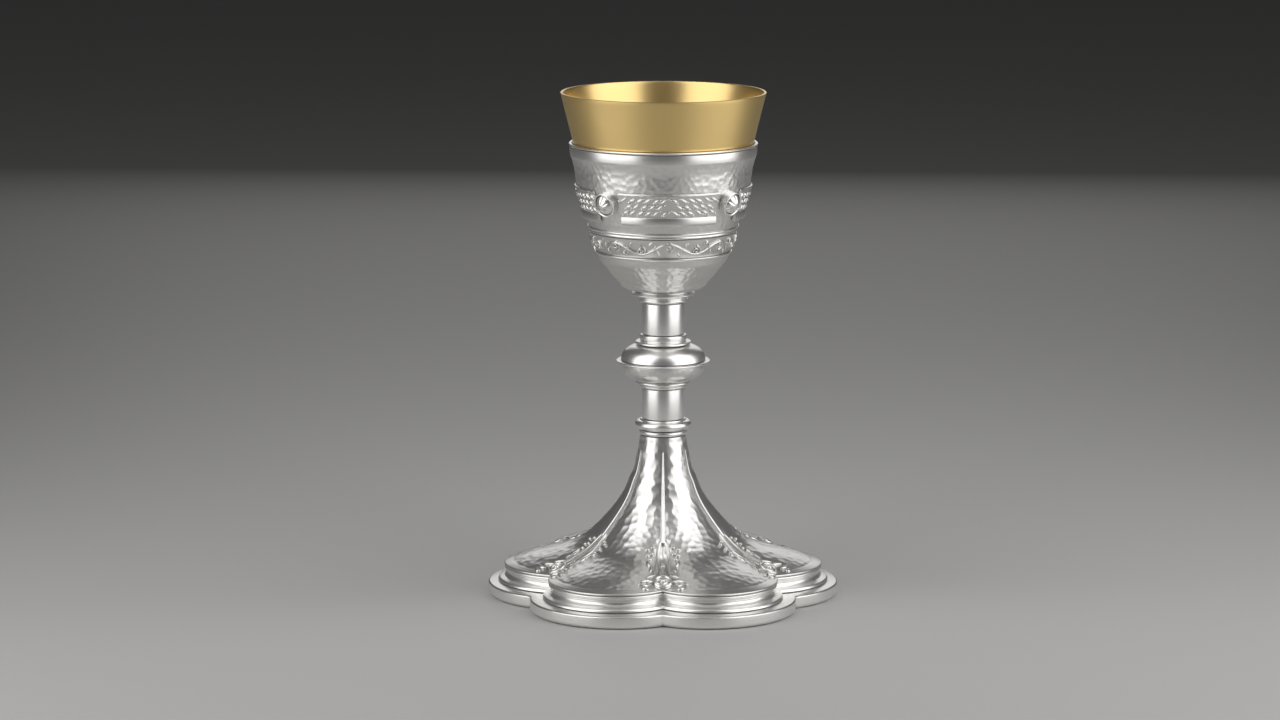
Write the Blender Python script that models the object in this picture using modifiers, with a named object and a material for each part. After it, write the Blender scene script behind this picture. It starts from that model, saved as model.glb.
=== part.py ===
"""Chalice: a gilt cup in a hammered silver calyx, on a turned stem with a knop and a six-lobed foot.

Metres, +Z up. The origin is the middle of the foot's flat underside. A cusp of the foot points along -Y.
The cup, its calyx and the tie rod come off as one group; a washer and a nut under the foot hold them.
"""

import math
from dataclasses import dataclass

import bmesh
import bpy
from mathutils import Vector

MM = 0.001

# Driving dimensions, in millimetres.
HEIGHT = 210.0
CUP_RIM_R = 42.3
FLANGE_R = 73.3
FLANGE_CUSP_R = 63.5
FLANGE_TOP = 5.5
TIER_LOBE_R = 66.0
TIER_CUSP_R = 53.3
TUBE_R = 8.9
TUBE_WALL = 1.0
COLLAR_BORE_R = 4.6
ROD_R = 4.0
GAP = 0.3
SHELL_WALL = 1.2
CUP_WALL = 0.9
CALYX_WALL = 1.0
LOBES = 6
CUP_TURN = math.radians(4.5)

# Facets round the axis: a multiple of the lobes for the foot.
FOOT_FACETS = 48
CUP_FACETS = 32
STEM_FACETS = 24
SMALL_FACETS = 10

# The foot's height line over a rib and over the middle of a lobe: (radius, height), from the neck down.
RIB_LINE = [
    (9.4, 67.0), (10.6, 60.0), (12.0, 52.8), (13.7, 48.8), (16.1, 42.7), (19.8, 36.7),
    (26.1, 28.9), (32.4, 22.2), (37.2, 19.2), (45.5, 14.9), (TIER_CUSP_R, 12.9),
]
LOBE_LINE = [
    (9.5, 67.0), (10.8, 60.0), (12.3, 52.8), (14.1, 48.8), (16.7, 42.7), (20.7, 36.7),
    (27.6, 28.9), (35.0, 22.8), (41.6, 20.0), (55.5, 16.6), (TIER_LOBE_R, 12.9),
]
RIB_FIRST = 1
RIB_LAST = 7
RIB_R = 0.7
LEAF_FIRST_R = 36.5
LEAF_LAST_R = 52.0
LEAF_HALF_WIDTHS = (1.2, 2.4, 4.0, 6.0, 8.0)
LEAF_THICKNESS = 0.6
ROSETTE_R = 3.9
ROSETTE_AT_R = 49.6
ROSETTE_LIFT = 2.0
ROSETTE_TILT = math.radians(18.0)

# The calyx's outside: (radius, height), from the top down.
CALYX_LINE = [
    (38.6, 188.0), (38.6, 185.0), (37.0, 179.7), (35.6, 171.0), (33.2, 163.0), (30.4, 154.0),
    (28.1, 146.4), (26.4, 141.0), (24.2, 138.1), (21.9, 135.1), (19.0, 131.8), (17.3, 129.6), (14.4, 128.3),
]
# The cup's outside, from under the lip down to the middle of its bottom.
CUP_LINE = [
    (CUP_RIM_R - 0.1, HEIGHT - 0.5), (37.1, 188.8), (31.9, 167.6), (28.6, 154.0), (26.7, 147.0),
    (24.2, 141.6), (20.2, 138.0), (15.0, 136.0), (8.0, 135.2), (0.0, 135.1),
]
PANELS = 4
PANEL_HALF_ANGLE = math.radians(34.5)
PANEL_LOW, PANEL_HIGH = 159.1, 172.2
BOSS_Z = 167.4
BOSS_R = 4.1
BOSS_STAND_OFF = 2.0
BOSS_BASE = -1.5
BEZEL_OUTER_R, BEZEL_INNER_R = 5.3, 4.4

# The fixings under the foot.
SEAT_TOP, SEAT_THICKNESS, SEAT_R = 42.0, 2.0, 14.6
WASHER_TOP, WASHER_THICKNESS, WASHER_R = 39.7, 1.6, 10.5
NUT_TOP, NUT_HEIGHT, NUT_ACROSS_FLATS = 37.8, 6.5, 13.0
ROD_BOTTOM, ROD_TOP = 29.0, 131.9
ROD_HEAD_R, ROD_HEAD_HEIGHT = 7.0, 2.2


@dataclass(frozen=True)
class Finish:
    """A plain look: name, colour, roughness and metallic value."""

    name: str
    color: tuple
    roughness: float
    metallic: float = 1.0


HAMMERED = Finish("hammered_silver", (0.80, 0.79, 0.77), 0.18)
POLISHED = Finish("polished_silver", (0.90, 0.89, 0.87), 0.08)
GILT = Finish("gilt", (0.90, 0.66, 0.28), 0.10)
BRASS = Finish("brass", (0.72, 0.54, 0.25), 0.30)
STEEL = Finish("steel", (0.55, 0.55, 0.56), 0.35)


# ---------------------------------------------------------------- scene helpers

def clear_scene():
    """Remove every object of the open file."""
    for obj in list(bpy.data.objects):
        bpy.data.objects.remove(obj, do_unlink=True)


def new_collection(name):
    """Make a collection and link it to the scene."""
    collection = bpy.data.collections.new(name)
    bpy.context.scene.collection.children.link(collection)
    return collection


def new_empty(name, collection, turn=0.0):
    """Make an empty on the chalice's axis, turned about it."""
    empty = bpy.data.objects.new(name, None)
    empty.rotation_euler.z = turn
    collection.objects.link(empty)
    return empty


def new_material(part_name, finish):
    """Make the part's own material from its finish."""
    material = bpy.data.materials.new(part_name + "_" + finish.name)
    material.use_nodes = True
    shader = material.node_tree.nodes["Principled BSDF"]
    shader.inputs["Base Color"].default_value = (*finish.color, 1.0)
    shader.inputs["Roughness"].default_value = finish.roughness
    shader.inputs["Metallic"].default_value = finish.metallic
    material.diffuse_color = (*finish.color, 1.0)
    return material


def add_object(name, mesh, finish, group):
    """Make an object from a mesh, with its material, in a group (collection and parent empty)."""
    obj = bpy.data.objects.new(name, mesh)
    collection, parent = group
    collection.objects.link(obj)
    obj.parent = parent
    mesh.materials.append(new_material(name, finish))
    return obj


# ---------------------------------------------------------------- shapes

def turned(name, outline, finish, group, facets=STEM_FACETS):
    """Turn an outline of (radius, height) in mm about Z.

    The outline runs down the outside and back up the inside. It is closed unless it starts and ends on the axis.
    """
    mesh = bpy.data.meshes.new(name)
    points = [(r * MM, 0.0, z * MM) for r, z in outline]
    edges = [(i, i + 1) for i in range(len(points) - 1)]
    on_axis = outline[0][0] == 0.0 and outline[-1][0] == 0.0
    if not on_axis:
        edges.append((len(points) - 1, 0))
    mesh.from_pydata(points, edges, [])
    obj = add_object(name, mesh, finish, group)
    screw = obj.modifiers.new("turn", "SCREW")
    screw.axis = "Z"
    screw.angle = math.tau
    screw.steps = facets
    screw.render_steps = facets
    screw.use_merge_vertices = True
    screw.merge_threshold = 0.00005
    screw.use_smooth_shade = True
    return obj


def loft(name, rings, finish, group, closed_rings=True, closed_loop=True):
    """Join rings of points, given in mm, with quads.

    Args:
        rings: lists of (x, y, z) with the same count, in an order that gives outward faces.
        closed_rings: join each ring's last point to its first.
        closed_loop: join the last ring to the first. If not, the two end rings are capped.
    """
    bm = bmesh.new()
    made = [[bm.verts.new(Vector(p) * MM) for p in ring] for ring in rings]
    count = len(made)
    size = len(made[0])
    for i in range(count if closed_loop else count - 1):
        a, b = made[i], made[(i + 1) % count]
        for j in range(size if closed_rings else size - 1):
            k = (j + 1) % size
            bm.faces.new((a[j], a[k], b[k], b[j]))
    if not closed_loop:
        bm.faces.new(list(reversed(made[0])))
        bm.faces.new(made[-1])
    bmesh.ops.recalc_face_normals(bm, faces=bm.faces)
    mesh = bpy.data.meshes.new(name)
    bm.to_mesh(mesh)
    bm.free()
    mesh.shade_smooth()
    mesh.set_sharp_from_angle(angle=math.radians(40))
    return add_object(name, mesh, finish, group)


def offset_line(line, distance):
    """Move a line of (radius, height) to its right-hand side: inwards for a line that runs down the outside."""
    moved = []
    for i, (r, z) in enumerate(line):
        before = line[max(i - 1, 0)]
        after = line[min(i + 1, len(line) - 1)]
        dr, dz = after[0] - before[0], after[1] - before[1]
        length = math.hypot(dr, dz)
        moved.append((r + dz / length * distance, z - dr / length * distance))
    return moved


def interpolate(line, z):
    """Radius of a top-down line of (radius, height) at height z."""
    for (r0, z0), (r1, z1) in zip(line, line[1:]):
        if z0 >= z >= z1:
            return r0 + (r1 - r0) * (z0 - z) / (z0 - z1)
    return line[-1][0]


# ---------------------------------------------------------------- the six-lobed outline

def lobe_fullness(angle):
    """0 on a rib's line and 1 in the middle of a lobe. Each lobe is an arc of a circle set out from the axis.

    The circle's centre is where an arc through both radii of the tier puts it.
    """
    half = math.pi / LOBES
    reach, valley = TIER_LOBE_R, TIER_CUSP_R
    centre = (reach**2 - valley**2) / (2 * (reach - valley * math.cos(half)))
    radius = reach - centre
    from_middle = (angle + math.pi / 2) % (2 * half) - half
    across = centre * math.sin(from_middle)
    r = centre * math.cos(from_middle) + math.sqrt(radius**2 - across**2)
    return (r - valley) / (reach - valley)


def lobed_point(rib_point, lobe_point, angle):
    """Point at an angle on the ring whose (radius, height) runs from the rib's to the lobe's."""
    w = lobe_fullness(angle)
    r = rib_point[0] + (lobe_point[0] - rib_point[0]) * w
    z = rib_point[1] + (lobe_point[1] - rib_point[1]) * w
    return (r * math.cos(angle), r * math.sin(angle), z)


def lobed_ring(name, rib_outline, lobe_outline, finish, group):
    """A closed ring whose cross-section is rib_outline on the ribs' lines and lobe_outline in the lobes' middles."""
    angles = [math.tau * (i / FOOT_FACETS) - math.pi / 2 for i in range(FOOT_FACETS)]
    rings = [[lobed_point(a, b, t) for t in angles] for a, b in zip(rib_outline, lobe_outline)]
    return loft(name, rings, finish, group)


# ---------------------------------------------------------------- foot

def make_flange(group):
    """The flat plate that the chalice stands on."""
    def outline(edge_r):
        return [(edge_r - 1.2, FLANGE_TOP), (edge_r, FLANGE_TOP - 0.6), (edge_r, 1.0), (edge_r - 0.9, 0.0)]

    inner = [(46.0, 0.0), (46.0, FLANGE_TOP)]
    inner_lobe = [(53.0, 0.0), (53.0, FLANGE_TOP)]
    lobed_ring("foot_flange", outline(FLANGE_CUSP_R) + inner, outline(FLANGE_R) + inner_lobe, POLISHED, group)


def make_step_moulding(group):
    """The hollow-moulded tier between the flange and the hammered foot."""
    def outline(edge_r):
        top, low = RIB_LINE[-1][1] - 1.1, FLANGE_TOP + GAP
        return [
            (edge_r + 0.1, top), (edge_r - 0.4, 10.5), (edge_r - 1.2, 9.6), (edge_r - 1.0, 8.5),
            (edge_r + 1.4, 7.2), (edge_r + 2.7, 6.5), (edge_r + 3.0, low), (edge_r - 4.5, low), (edge_r - 4.5, top),
        ]

    lobed_ring("foot_step_moulding", outline(TIER_CUSP_R), outline(TIER_LOBE_R), POLISHED, group)


def make_foot_shell(group):
    """The hammered foot, a thin shell that rises from the six lobes to a round neck."""
    def outline(line):
        r, z = line[-1]
        rim = [(r + 0.3, z - 0.4), (r, z - 0.8)]
        inside = offset_line(line, SHELL_WALL)
        kept = [inside[i] for i in (9, 8, 7, 6, 5, 3, 1)]
        return line + rim + kept + [(inside[0][0], line[0][1])]

    lobed_ring("foot_shell", outline(RIB_LINE), outline(LOBE_LINE), HAMMERED, group)


def make_ribs(group):
    """Six smooth wires on the foot, down the valleys between the lobes."""
    path = offset_line(RIB_LINE, -(GAP + RIB_R))[RIB_FIRST:RIB_LAST + 1]
    foot_end = offset_line([(32.4, 22.2), (35.6, 20.2)], -(GAP + RIB_R))[1]
    path.append(foot_end)
    for i in range(LOBES):
        angle = math.tau * i / LOBES
        curve = bpy.data.curves.new("foot_rib_%d" % (i + 1), "CURVE")
        curve.dimensions = "3D"
        curve.bevel_depth = RIB_R * MM
        curve.bevel_resolution = 1
        curve.use_fill_caps = True
        spline = curve.splines.new("POLY")
        spline.points.add(len(path) - 1)
        for point, (r, z) in zip(spline.points, path):
            point.co = (0.0, -r * MM, z * MM, 1.0)
        obj = add_object("foot_rib_%d" % (i + 1), curve, POLISHED, group)
        obj.rotation_euler.z = angle


def foot_surface(r_on_rib, angle, lift):
    """Point of the foot's outside, lifted off it.

    Args:
        r_on_rib: radius on the rib's line, which picks the height.
        angle: angle from the rib's line.
        lift: distance above the surface.
    """
    for (r0, z0), (r1, z1), (s0, y0), (s1, y1) in zip(RIB_LINE, RIB_LINE[1:], LOBE_LINE, LOBE_LINE[1:]):
        if r0 <= r_on_rib <= r1:
            t = (r_on_rib - r0) / (r1 - r0)
            rib_point = (r_on_rib, z0 + (z1 - z0) * t + lift)
            lobe_point = (s0 + (s1 - s0) * t, y0 + (y1 - y0) * t + lift)
            return lobed_point(rib_point, lobe_point, angle - math.pi / 2)
    raise ValueError("radius off the foot")


def make_leaves(group):
    """Six spandrel leaves, one in each cusp, that follow the foot's surface."""
    rows = len(LEAF_HALF_WIDTHS)
    for i in range(LOBES):
        rings = []
        for row, half_width in enumerate(LEAF_HALF_WIDTHS):
            r = LEAF_FIRST_R + (LEAF_LAST_R - LEAF_FIRST_R) * row / (rows - 1)
            spread = half_width / r
            sides = (-1.0, -0.5, 0.0, 0.5, 1.0)
            low = [foot_surface(r, s * spread, GAP) for s in sides]
            high = [foot_surface(r, s * spread, GAP + LEAF_THICKNESS) for s in reversed(sides)]
            rings.append(low + high)
        leaf = loft("cusp_leaf_%d" % (i + 1), rings, POLISHED, group, closed_loop=False)
        leaf.rotation_euler.z = math.tau * i / LOBES


def make_rosettes(group):
    """Six round rosettes on the leaves."""
    outline = [(0.0, 1.9), (1.3, 1.7), (1.9, 1.0), (2.7, 1.3), (ROSETTE_R, 0.8), (ROSETTE_R, 0.0), (0.0, 0.0)]
    (low_r, low_z), (high_r, high_z) = RIB_LINE[10], RIB_LINE[9]
    height = low_z + (high_z - low_z) * (low_r - ROSETTE_AT_R) / (low_r - high_r) + ROSETTE_LIFT
    for i in range(LOBES):
        angle = math.tau * i / LOBES - math.pi / 2
        rosette = turned("cusp_rosette_%d" % (i + 1), outline, POLISHED, group, SMALL_FACETS)
        outward = Vector((math.cos(angle), math.sin(angle), 0.0))
        rosette.location = (outward * ROSETTE_AT_R + Vector((0, 0, height))) * MM
        normal = outward * math.sin(ROSETTE_TILT) + Vector((0, 0, math.cos(ROSETTE_TILT)))
        rosette.rotation_mode = "QUATERNION"
        rosette.rotation_quaternion = normal.to_track_quat("Z", "Y")


def make_seat_disc(group):
    """The disc inside the foot's neck that the washer pulls against."""
    low = SEAT_TOP - SEAT_THICKNESS
    outline = [(SEAT_R, SEAT_TOP), (SEAT_R + 0.6, low), (ROD_R + 0.5, low), (ROD_R + 0.5, SEAT_TOP)]
    turned("foot_seat_disc", outline, BRASS, group, 24)


# ---------------------------------------------------------------- stem

def bored(outside):
    """Close an outside line of a collar with a bore for the tie rod."""
    return outside + [(COLLAR_BORE_R, outside[-1][1]), (COLLAR_BORE_R, outside[0][1])]


def make_lower_collar(group):
    """A thin ring and a round moulding on the foot's neck."""
    ring = [(9.4, 69.2), (9.9, 68.7), (9.9, 67.8), (9.4, 67.3)]
    turned("lower_collar_ring", bored(ring), POLISHED, group)
    torus = [(9.6, 73.9), (10.6, 73.5), (11.6, 72.6), (11.8, 71.6), (11.3, 70.4), (9.9, 69.5)]
    turned("lower_collar_torus", bored(torus), POLISHED, group)


def make_tube(name, low, high, group):
    """A plain length of the stem."""
    inner = TUBE_R - TUBE_WALL
    turned(name, [(TUBE_R, high), (TUBE_R, low), (inner, low), (inner, high)], POLISHED, group)


def make_knop(group):
    """The knop: a bead ring, a hammered bowl, a sharp fillet, a polished dome and a hollow collar."""
    ring = [(9.2, 90.1), (10.8, 90.0), (11.3, 89.4), (10.9, 88.7), (9.6, 88.4), (9.9, 87.8), (9.4, 87.1)]
    turned("knop_lower_ring", bored(ring), POLISHED, group)
    bowl = [(17.2, 97.4), (17.1, 95.6), (16.5, 93.6), (15.0, 91.8), (12.2, 90.4)]
    inside = [(8.4, 90.4), (8.4, 91.4), (11.8, 91.4), (14.1, 92.6), (15.4, 94.1), (16.0, 95.8), (16.1, 97.4)]
    turned("knop_lower_shell", bowl + inside, HAMMERED, group)
    turned("knop_fillet", [(18.9, 98.6), (19.6, 98.1), (18.9, 97.7), (15.0, 97.7), (15.0, 98.6)], POLISHED, group)
    dome = [(8.4, 105.2), (10.4, 105.2), (13.4, 104.4), (15.9, 102.9), (17.3, 100.9), (17.6, 98.9)]
    inside = [(16.5, 98.9), (16.2, 100.6), (15.0, 102.1), (12.9, 103.4), (10.2, 104.1), (8.4, 104.2)]
    turned("knop_upper_shell", dome + inside, POLISHED, group)
    collar = [
        (9.2, 109.4), (9.7, 109.0), (9.7, 107.4), (9.3, 106.8), (11.0, 106.6), (11.7, 106.1), (11.7, 105.8),
        (11.0, 105.5),
    ]
    turned("knop_upper_collar", bored(collar), POLISHED, group)


def make_upper_collar(group):
    """The ring and the wide disc that the calyx sits on."""
    collar = [
        (11.0, 128.0), (11.6, 127.6), (11.6, 127.2), (11.2, 126.9), (12.9, 126.8), (13.2, 126.4), (12.8, 126.0),
        (10.9, 125.6), (9.8, 124.9), (9.7, 124.5), (10.2, 124.1), (10.2, 123.6), (9.6, 123.2), (9.1, 122.9),
    ]
    turned("upper_collar", bored(collar), POLISHED, group)


# ---------------------------------------------------------------- cup and calyx

def make_cup(group):
    """The gilt cup: a thin wall with a narrow flat lip."""
    lip = [(CUP_RIM_R - 0.9, HEIGHT), (CUP_RIM_R - 0.2, HEIGHT), (CUP_RIM_R, HEIGHT - 0.3)]
    inside = offset_line(CUP_LINE[:-1], CUP_WALL) + [(0.0, CUP_LINE[-1][1] + CUP_WALL)]
    inside = list(reversed(inside))
    turned_line = inside + lip + CUP_LINE
    turned("cup_bowl", turned_line, GILT, group, CUP_FACETS)


def make_calyx(group):
    """The hammered shell that holds the cup."""
    inside = offset_line(CALYX_LINE, CALYX_WALL)
    inside[0] = (CALYX_LINE[0][0] - CALYX_WALL, CALYX_LINE[0][1])
    outline = CALYX_LINE + [(COLLAR_BORE_R, 128.3), (COLLAR_BORE_R, 129.3)] + list(reversed(inside))
    turned("calyx", outline, HAMMERED, group, CUP_FACETS)


def on_wall(section):
    """Turn (stand-off, height) into (radius, height) on the calyx's outside."""
    return [(interpolate(CALYX_LINE, z) + off, z) for off, z in section]


def make_calyx_rings(group):
    """The wires and the ornament band round the calyx."""
    rim = [(38.6, 189.2), (39.0, 188.75), (38.6, 188.3), (37.7, 188.3), (37.7, 189.2)]
    turned("calyx_rim_wire", rim, POLISHED, group, CUP_FACETS)
    mid = on_wall([(0.35, 155.0), (0.75, 154.7), (0.6, 154.0), (0.75, 153.3), (0.35, 153.0)])
    turned("calyx_mid_wire", mid, POLISHED, group, CUP_FACETS)
    band = on_wall([(0.35, 152.6), (0.85, 152.4), (0.85, 145.2), (0.35, 145.0)])
    turned("calyx_ornament_band", band, HAMMERED, group, CUP_FACETS)
    low = on_wall([(0.35, 144.6), (1.0, 144.1), (0.35, 143.4)])
    turned("calyx_lower_wire", low, POLISHED, group, CUP_FACETS)


def make_panels(group):
    """Four curved relief panels, with a thin line along the top and a rounded fillet along the bottom."""
    section = on_wall([
        (0.35, PANEL_LOW), (1.75, PANEL_LOW + 0.2), (1.5, PANEL_LOW + 1.8), (0.95, PANEL_LOW + 3.2),
        (1.0, PANEL_HIGH - 0.8), (0.9, PANEL_HIGH - 0.2), (0.35, PANEL_HIGH),
    ])
    steps = 10
    for i in range(PANELS):
        rings = []
        for j in range(steps + 1):
            angle = PANEL_HALF_ANGLE * (2 * j / steps - 1) - math.pi / 2
            rings.append([(r * math.cos(angle), r * math.sin(angle), z) for r, z in section])
        panel = loft("relief_panel_%d" % (i + 1), rings, HAMMERED, group, closed_loop=False)
        panel.rotation_euler.z = math.tau * i / PANELS


def make_bosses(group):
    """Four domed bosses in bezel rings, between the panels."""
    wall_r = interpolate(CALYX_LINE, BOSS_Z)
    slope = math.atan2(2.4, 8.0)
    dome = [(0.0, 2.6), (1.8, 2.3), (3.3, 1.4), (BOSS_R, 0.0), (BOSS_R, BOSS_BASE), (0.0, BOSS_BASE)]
    bezel = [
        (BEZEL_INNER_R + 0.2, 1.0), (BEZEL_OUTER_R - 0.3, 1.0), (BEZEL_OUTER_R, 0.4), (BEZEL_OUTER_R, BOSS_BASE),
        (BEZEL_INNER_R, BOSS_BASE),
    ]
    for i in range(PANELS):
        angle = math.tau * (i + 0.5) / PANELS - math.pi / 2
        outward = Vector((math.cos(angle), math.sin(angle), 0.0))
        normal = outward * math.cos(slope) - Vector((0, 0, math.sin(slope)))
        seat = outward * wall_r + Vector((0, 0, BOSS_Z)) + normal * BOSS_STAND_OFF
        for name, outline, facets in (("boss", dome, SMALL_FACETS), ("boss_bezel", bezel, 14)):
            piece = turned("%s_%d" % (name, i + 1), outline, POLISHED, group, facets)
            piece.location = seat * MM
            piece.rotation_mode = "QUATERNION"
            piece.rotation_quaternion = normal.to_track_quat("Z", "Y")


def make_rod(group):
    """The disc in the calyx and the threaded tie rod with its round head."""
    disc = [(13.4, 131.6), (13.7, 129.6), (ROD_R + 0.3, 129.6), (ROD_R + 0.3, 131.6)]
    turned("calyx_base_disc", disc, BRASS, group, 24)
    head_top = ROD_TOP + ROD_HEAD_HEIGHT
    rod = [
        (0.0, head_top), (ROD_HEAD_R - 0.4, head_top), (ROD_HEAD_R, head_top - 0.4), (ROD_HEAD_R, ROD_TOP),
        (ROD_R, ROD_TOP), (ROD_R, ROD_BOTTOM + 0.8), (ROD_R - 0.8, ROD_BOTTOM), (0.0, ROD_BOTTOM),
    ]
    turned("tie_rod", rod, STEEL, group, 20)


# ---------------------------------------------------------------- fixings

def make_washer(group):
    """The washer between the nut and the foot's seat disc."""
    low = WASHER_TOP - WASHER_THICKNESS
    outline = [(WASHER_R, WASHER_TOP), (WASHER_R, low), (ROD_R + 0.5, low), (ROD_R + 0.5, WASHER_TOP)]
    turned("tie_washer", outline, STEEL, group, 24)


def make_nut(group):
    """The hexagonal nut on the tie rod's end."""
    across_corners = NUT_ACROSS_FLATS / math.cos(math.pi / 6) / 2
    low = NUT_TOP - NUT_HEIGHT
    flat_r = NUT_ACROSS_FLATS / 2
    bore_r = ROD_R + 0.1
    sides = 24
    rings = []
    for r_corner, z in ((flat_r, NUT_TOP), (across_corners, NUT_TOP - 0.7), (across_corners, low + 0.7), (flat_r, low)):
        ring = []
        for i in range(sides):
            angle = math.tau * i / sides
            from_flat = (angle + math.pi / 6) % (math.pi / 3) - math.pi / 6
            r = min(r_corner, flat_r / math.cos(from_flat))
            ring.append((r * math.cos(angle), r * math.sin(angle), z))
        rings.append(ring)
    for z in (low, NUT_TOP):
        rings.append([(bore_r * math.cos(math.tau * i / sides), bore_r * math.sin(math.tau * i / sides), z)
                      for i in range(sides)])
    loft("tie_nut", rings, BRASS, group)


def main():
    """Build the chalice."""
    clear_scene()
    parts = new_collection("chalice")
    foot = (parts, new_empty("foot_axis", parts))
    cup = (parts, new_empty("cup_axis", parts, CUP_TURN))
    fixings = (parts, new_empty("nut_axis", parts))
    make_flange(foot)
    make_step_moulding(foot)
    make_foot_shell(foot)
    make_ribs(foot)
    make_leaves(foot)
    make_rosettes(foot)
    make_seat_disc(foot)
    make_lower_collar(foot)
    make_tube("lower_stem_tube", 74.2, 86.8, foot)
    make_knop(foot)
    make_tube("upper_stem_tube", 109.7, 122.6, foot)
    make_upper_collar(foot)
    make_cup(cup)
    make_calyx(cup)
    make_calyx_rings(cup)
    make_panels(cup)
    make_bosses(cup)
    make_rod(cup)
    make_washer(fixings)
    make_nut(fixings)


main()
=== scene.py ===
"""Looks of a chalice: gilt cup, hammered silver calyx, turned stem with a knop, ribbed six-lobed foot.

Every size below is in millimetres and every mesh is made in the frame's metres. The origin is the
middle of the foot's underside, +Z runs up the stem, and -Y is the front, where a rib comes down to a
cusp of the foot.
"""

import logging
import math
from dataclasses import dataclass, field
from enum import Enum
from typing import Callable, Sequence

import bmesh
import bpy
import numpy as np
from mathutils import Matrix, Vector
from mathutils.kdtree import KDTree


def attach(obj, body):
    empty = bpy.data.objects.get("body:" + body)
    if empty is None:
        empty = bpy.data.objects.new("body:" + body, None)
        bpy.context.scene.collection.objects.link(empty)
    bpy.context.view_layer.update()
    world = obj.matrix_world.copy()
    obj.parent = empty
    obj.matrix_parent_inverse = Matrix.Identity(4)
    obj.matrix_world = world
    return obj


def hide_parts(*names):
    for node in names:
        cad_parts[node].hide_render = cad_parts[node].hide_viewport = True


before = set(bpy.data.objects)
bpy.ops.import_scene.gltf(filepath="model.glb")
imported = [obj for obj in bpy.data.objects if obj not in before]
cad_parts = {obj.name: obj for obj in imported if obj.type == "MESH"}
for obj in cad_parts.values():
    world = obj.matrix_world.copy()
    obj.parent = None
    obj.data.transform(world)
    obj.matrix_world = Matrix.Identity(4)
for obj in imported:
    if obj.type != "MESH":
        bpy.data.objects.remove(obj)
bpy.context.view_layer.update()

MM = 0.001
TAU = math.tau
FRONT = -math.pi / 2
ROUND_STEPS = 4
CREASE = math.radians(50.0)
UP = np.array([0.0, 0.0, 1.0])
Line = list[tuple[float, float]]
Onto = Callable[[float, float, float], np.ndarray]
log = logging.getLogger("chalice")


# ------------------------------------------------------------------ nodes

class Socket:
    """A node socket that takes part in sums, so that shader and geometry maths read as Python."""

    def __init__(self, builder: "NodeBuilder", link: bpy.types.NodeSocket) -> None:
        """Wrap one output socket of the builder's tree."""
        self.builder = builder
        self.link = link

    def _math(self, operation: str, a: object, b: object = 0.0) -> "Socket":
        """Add a Math node on two values."""
        return self.builder.node("ShaderNodeMath", {"operation": operation}, {0: a, 1: b})

    def __add__(self, other: object) -> "Socket":
        """self + other."""
        return self._math("ADD", self, other)

    def __radd__(self, other: object) -> "Socket":
        """other + self."""
        return self._math("ADD", other, self)

    def __sub__(self, other: object) -> "Socket":
        """self - other."""
        return self._math("SUBTRACT", self, other)

    def __rsub__(self, other: object) -> "Socket":
        """other - self."""
        return self._math("SUBTRACT", other, self)

    def __mul__(self, other: object) -> "Socket":
        """self * other."""
        return self._math("MULTIPLY", self, other)

    def __rmul__(self, other: object) -> "Socket":
        """other * self."""
        return self._math("MULTIPLY", other, self)

    def __truediv__(self, other: object) -> "Socket":
        """self / other."""
        return self._math("DIVIDE", self, other)

    def __rtruediv__(self, other: object) -> "Socket":
        """other / self."""
        return self._math("DIVIDE", other, self)

    def __pow__(self, other: object) -> "Socket":
        """self ** other."""
        return self._math("POWER", self, other)

    def sine(self) -> "Socket":
        """Sine of the value."""
        return self._math("SINE", self)

    def cosine(self) -> "Socket":
        """Cosine of the value."""
        return self._math("COSINE", self)


class NodeBuilder:
    """Adds nodes to a node tree and links them."""

    def __init__(self, tree: bpy.types.NodeTree) -> None:
        """Work on a tree."""
        self.tree = tree

    def node(self, kind: str, settings: dict | None = None, inputs: dict | None = None,
             out: int | str = 0) -> Socket:
        """Add a node.

        Args:
            kind: the node's type name.
            settings: its attributes, set first.
            inputs: a value or a Socket for each input, by name or number.
            out: the output to return.

        Returns:
            The wrapped output.
        """
        made = self.tree.nodes.new(kind)
        for key, value in (settings or {}).items():
            setattr(made, key, value)
        for key, value in (inputs or {}).items():
            target = made.inputs[key]
            if isinstance(value, Socket):
                self.tree.links.new(value.link, target)
            else:
                target.default_value = value
        return Socket(self, made.outputs[out])

    def vector(self, x: object = 0.0, y: object = 0.0, z: object = 0.0) -> Socket:
        """Combine three values into a vector."""
        return self.node("ShaderNodeCombineXYZ", {}, {"X": x, "Y": y, "Z": z})

    def parts(self, vector: Socket) -> list[Socket]:
        """Separate a vector into its three values."""
        return [self.node("ShaderNodeSeparateXYZ", {}, {0: vector}, out=axis) for axis in "XYZ"]


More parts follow.
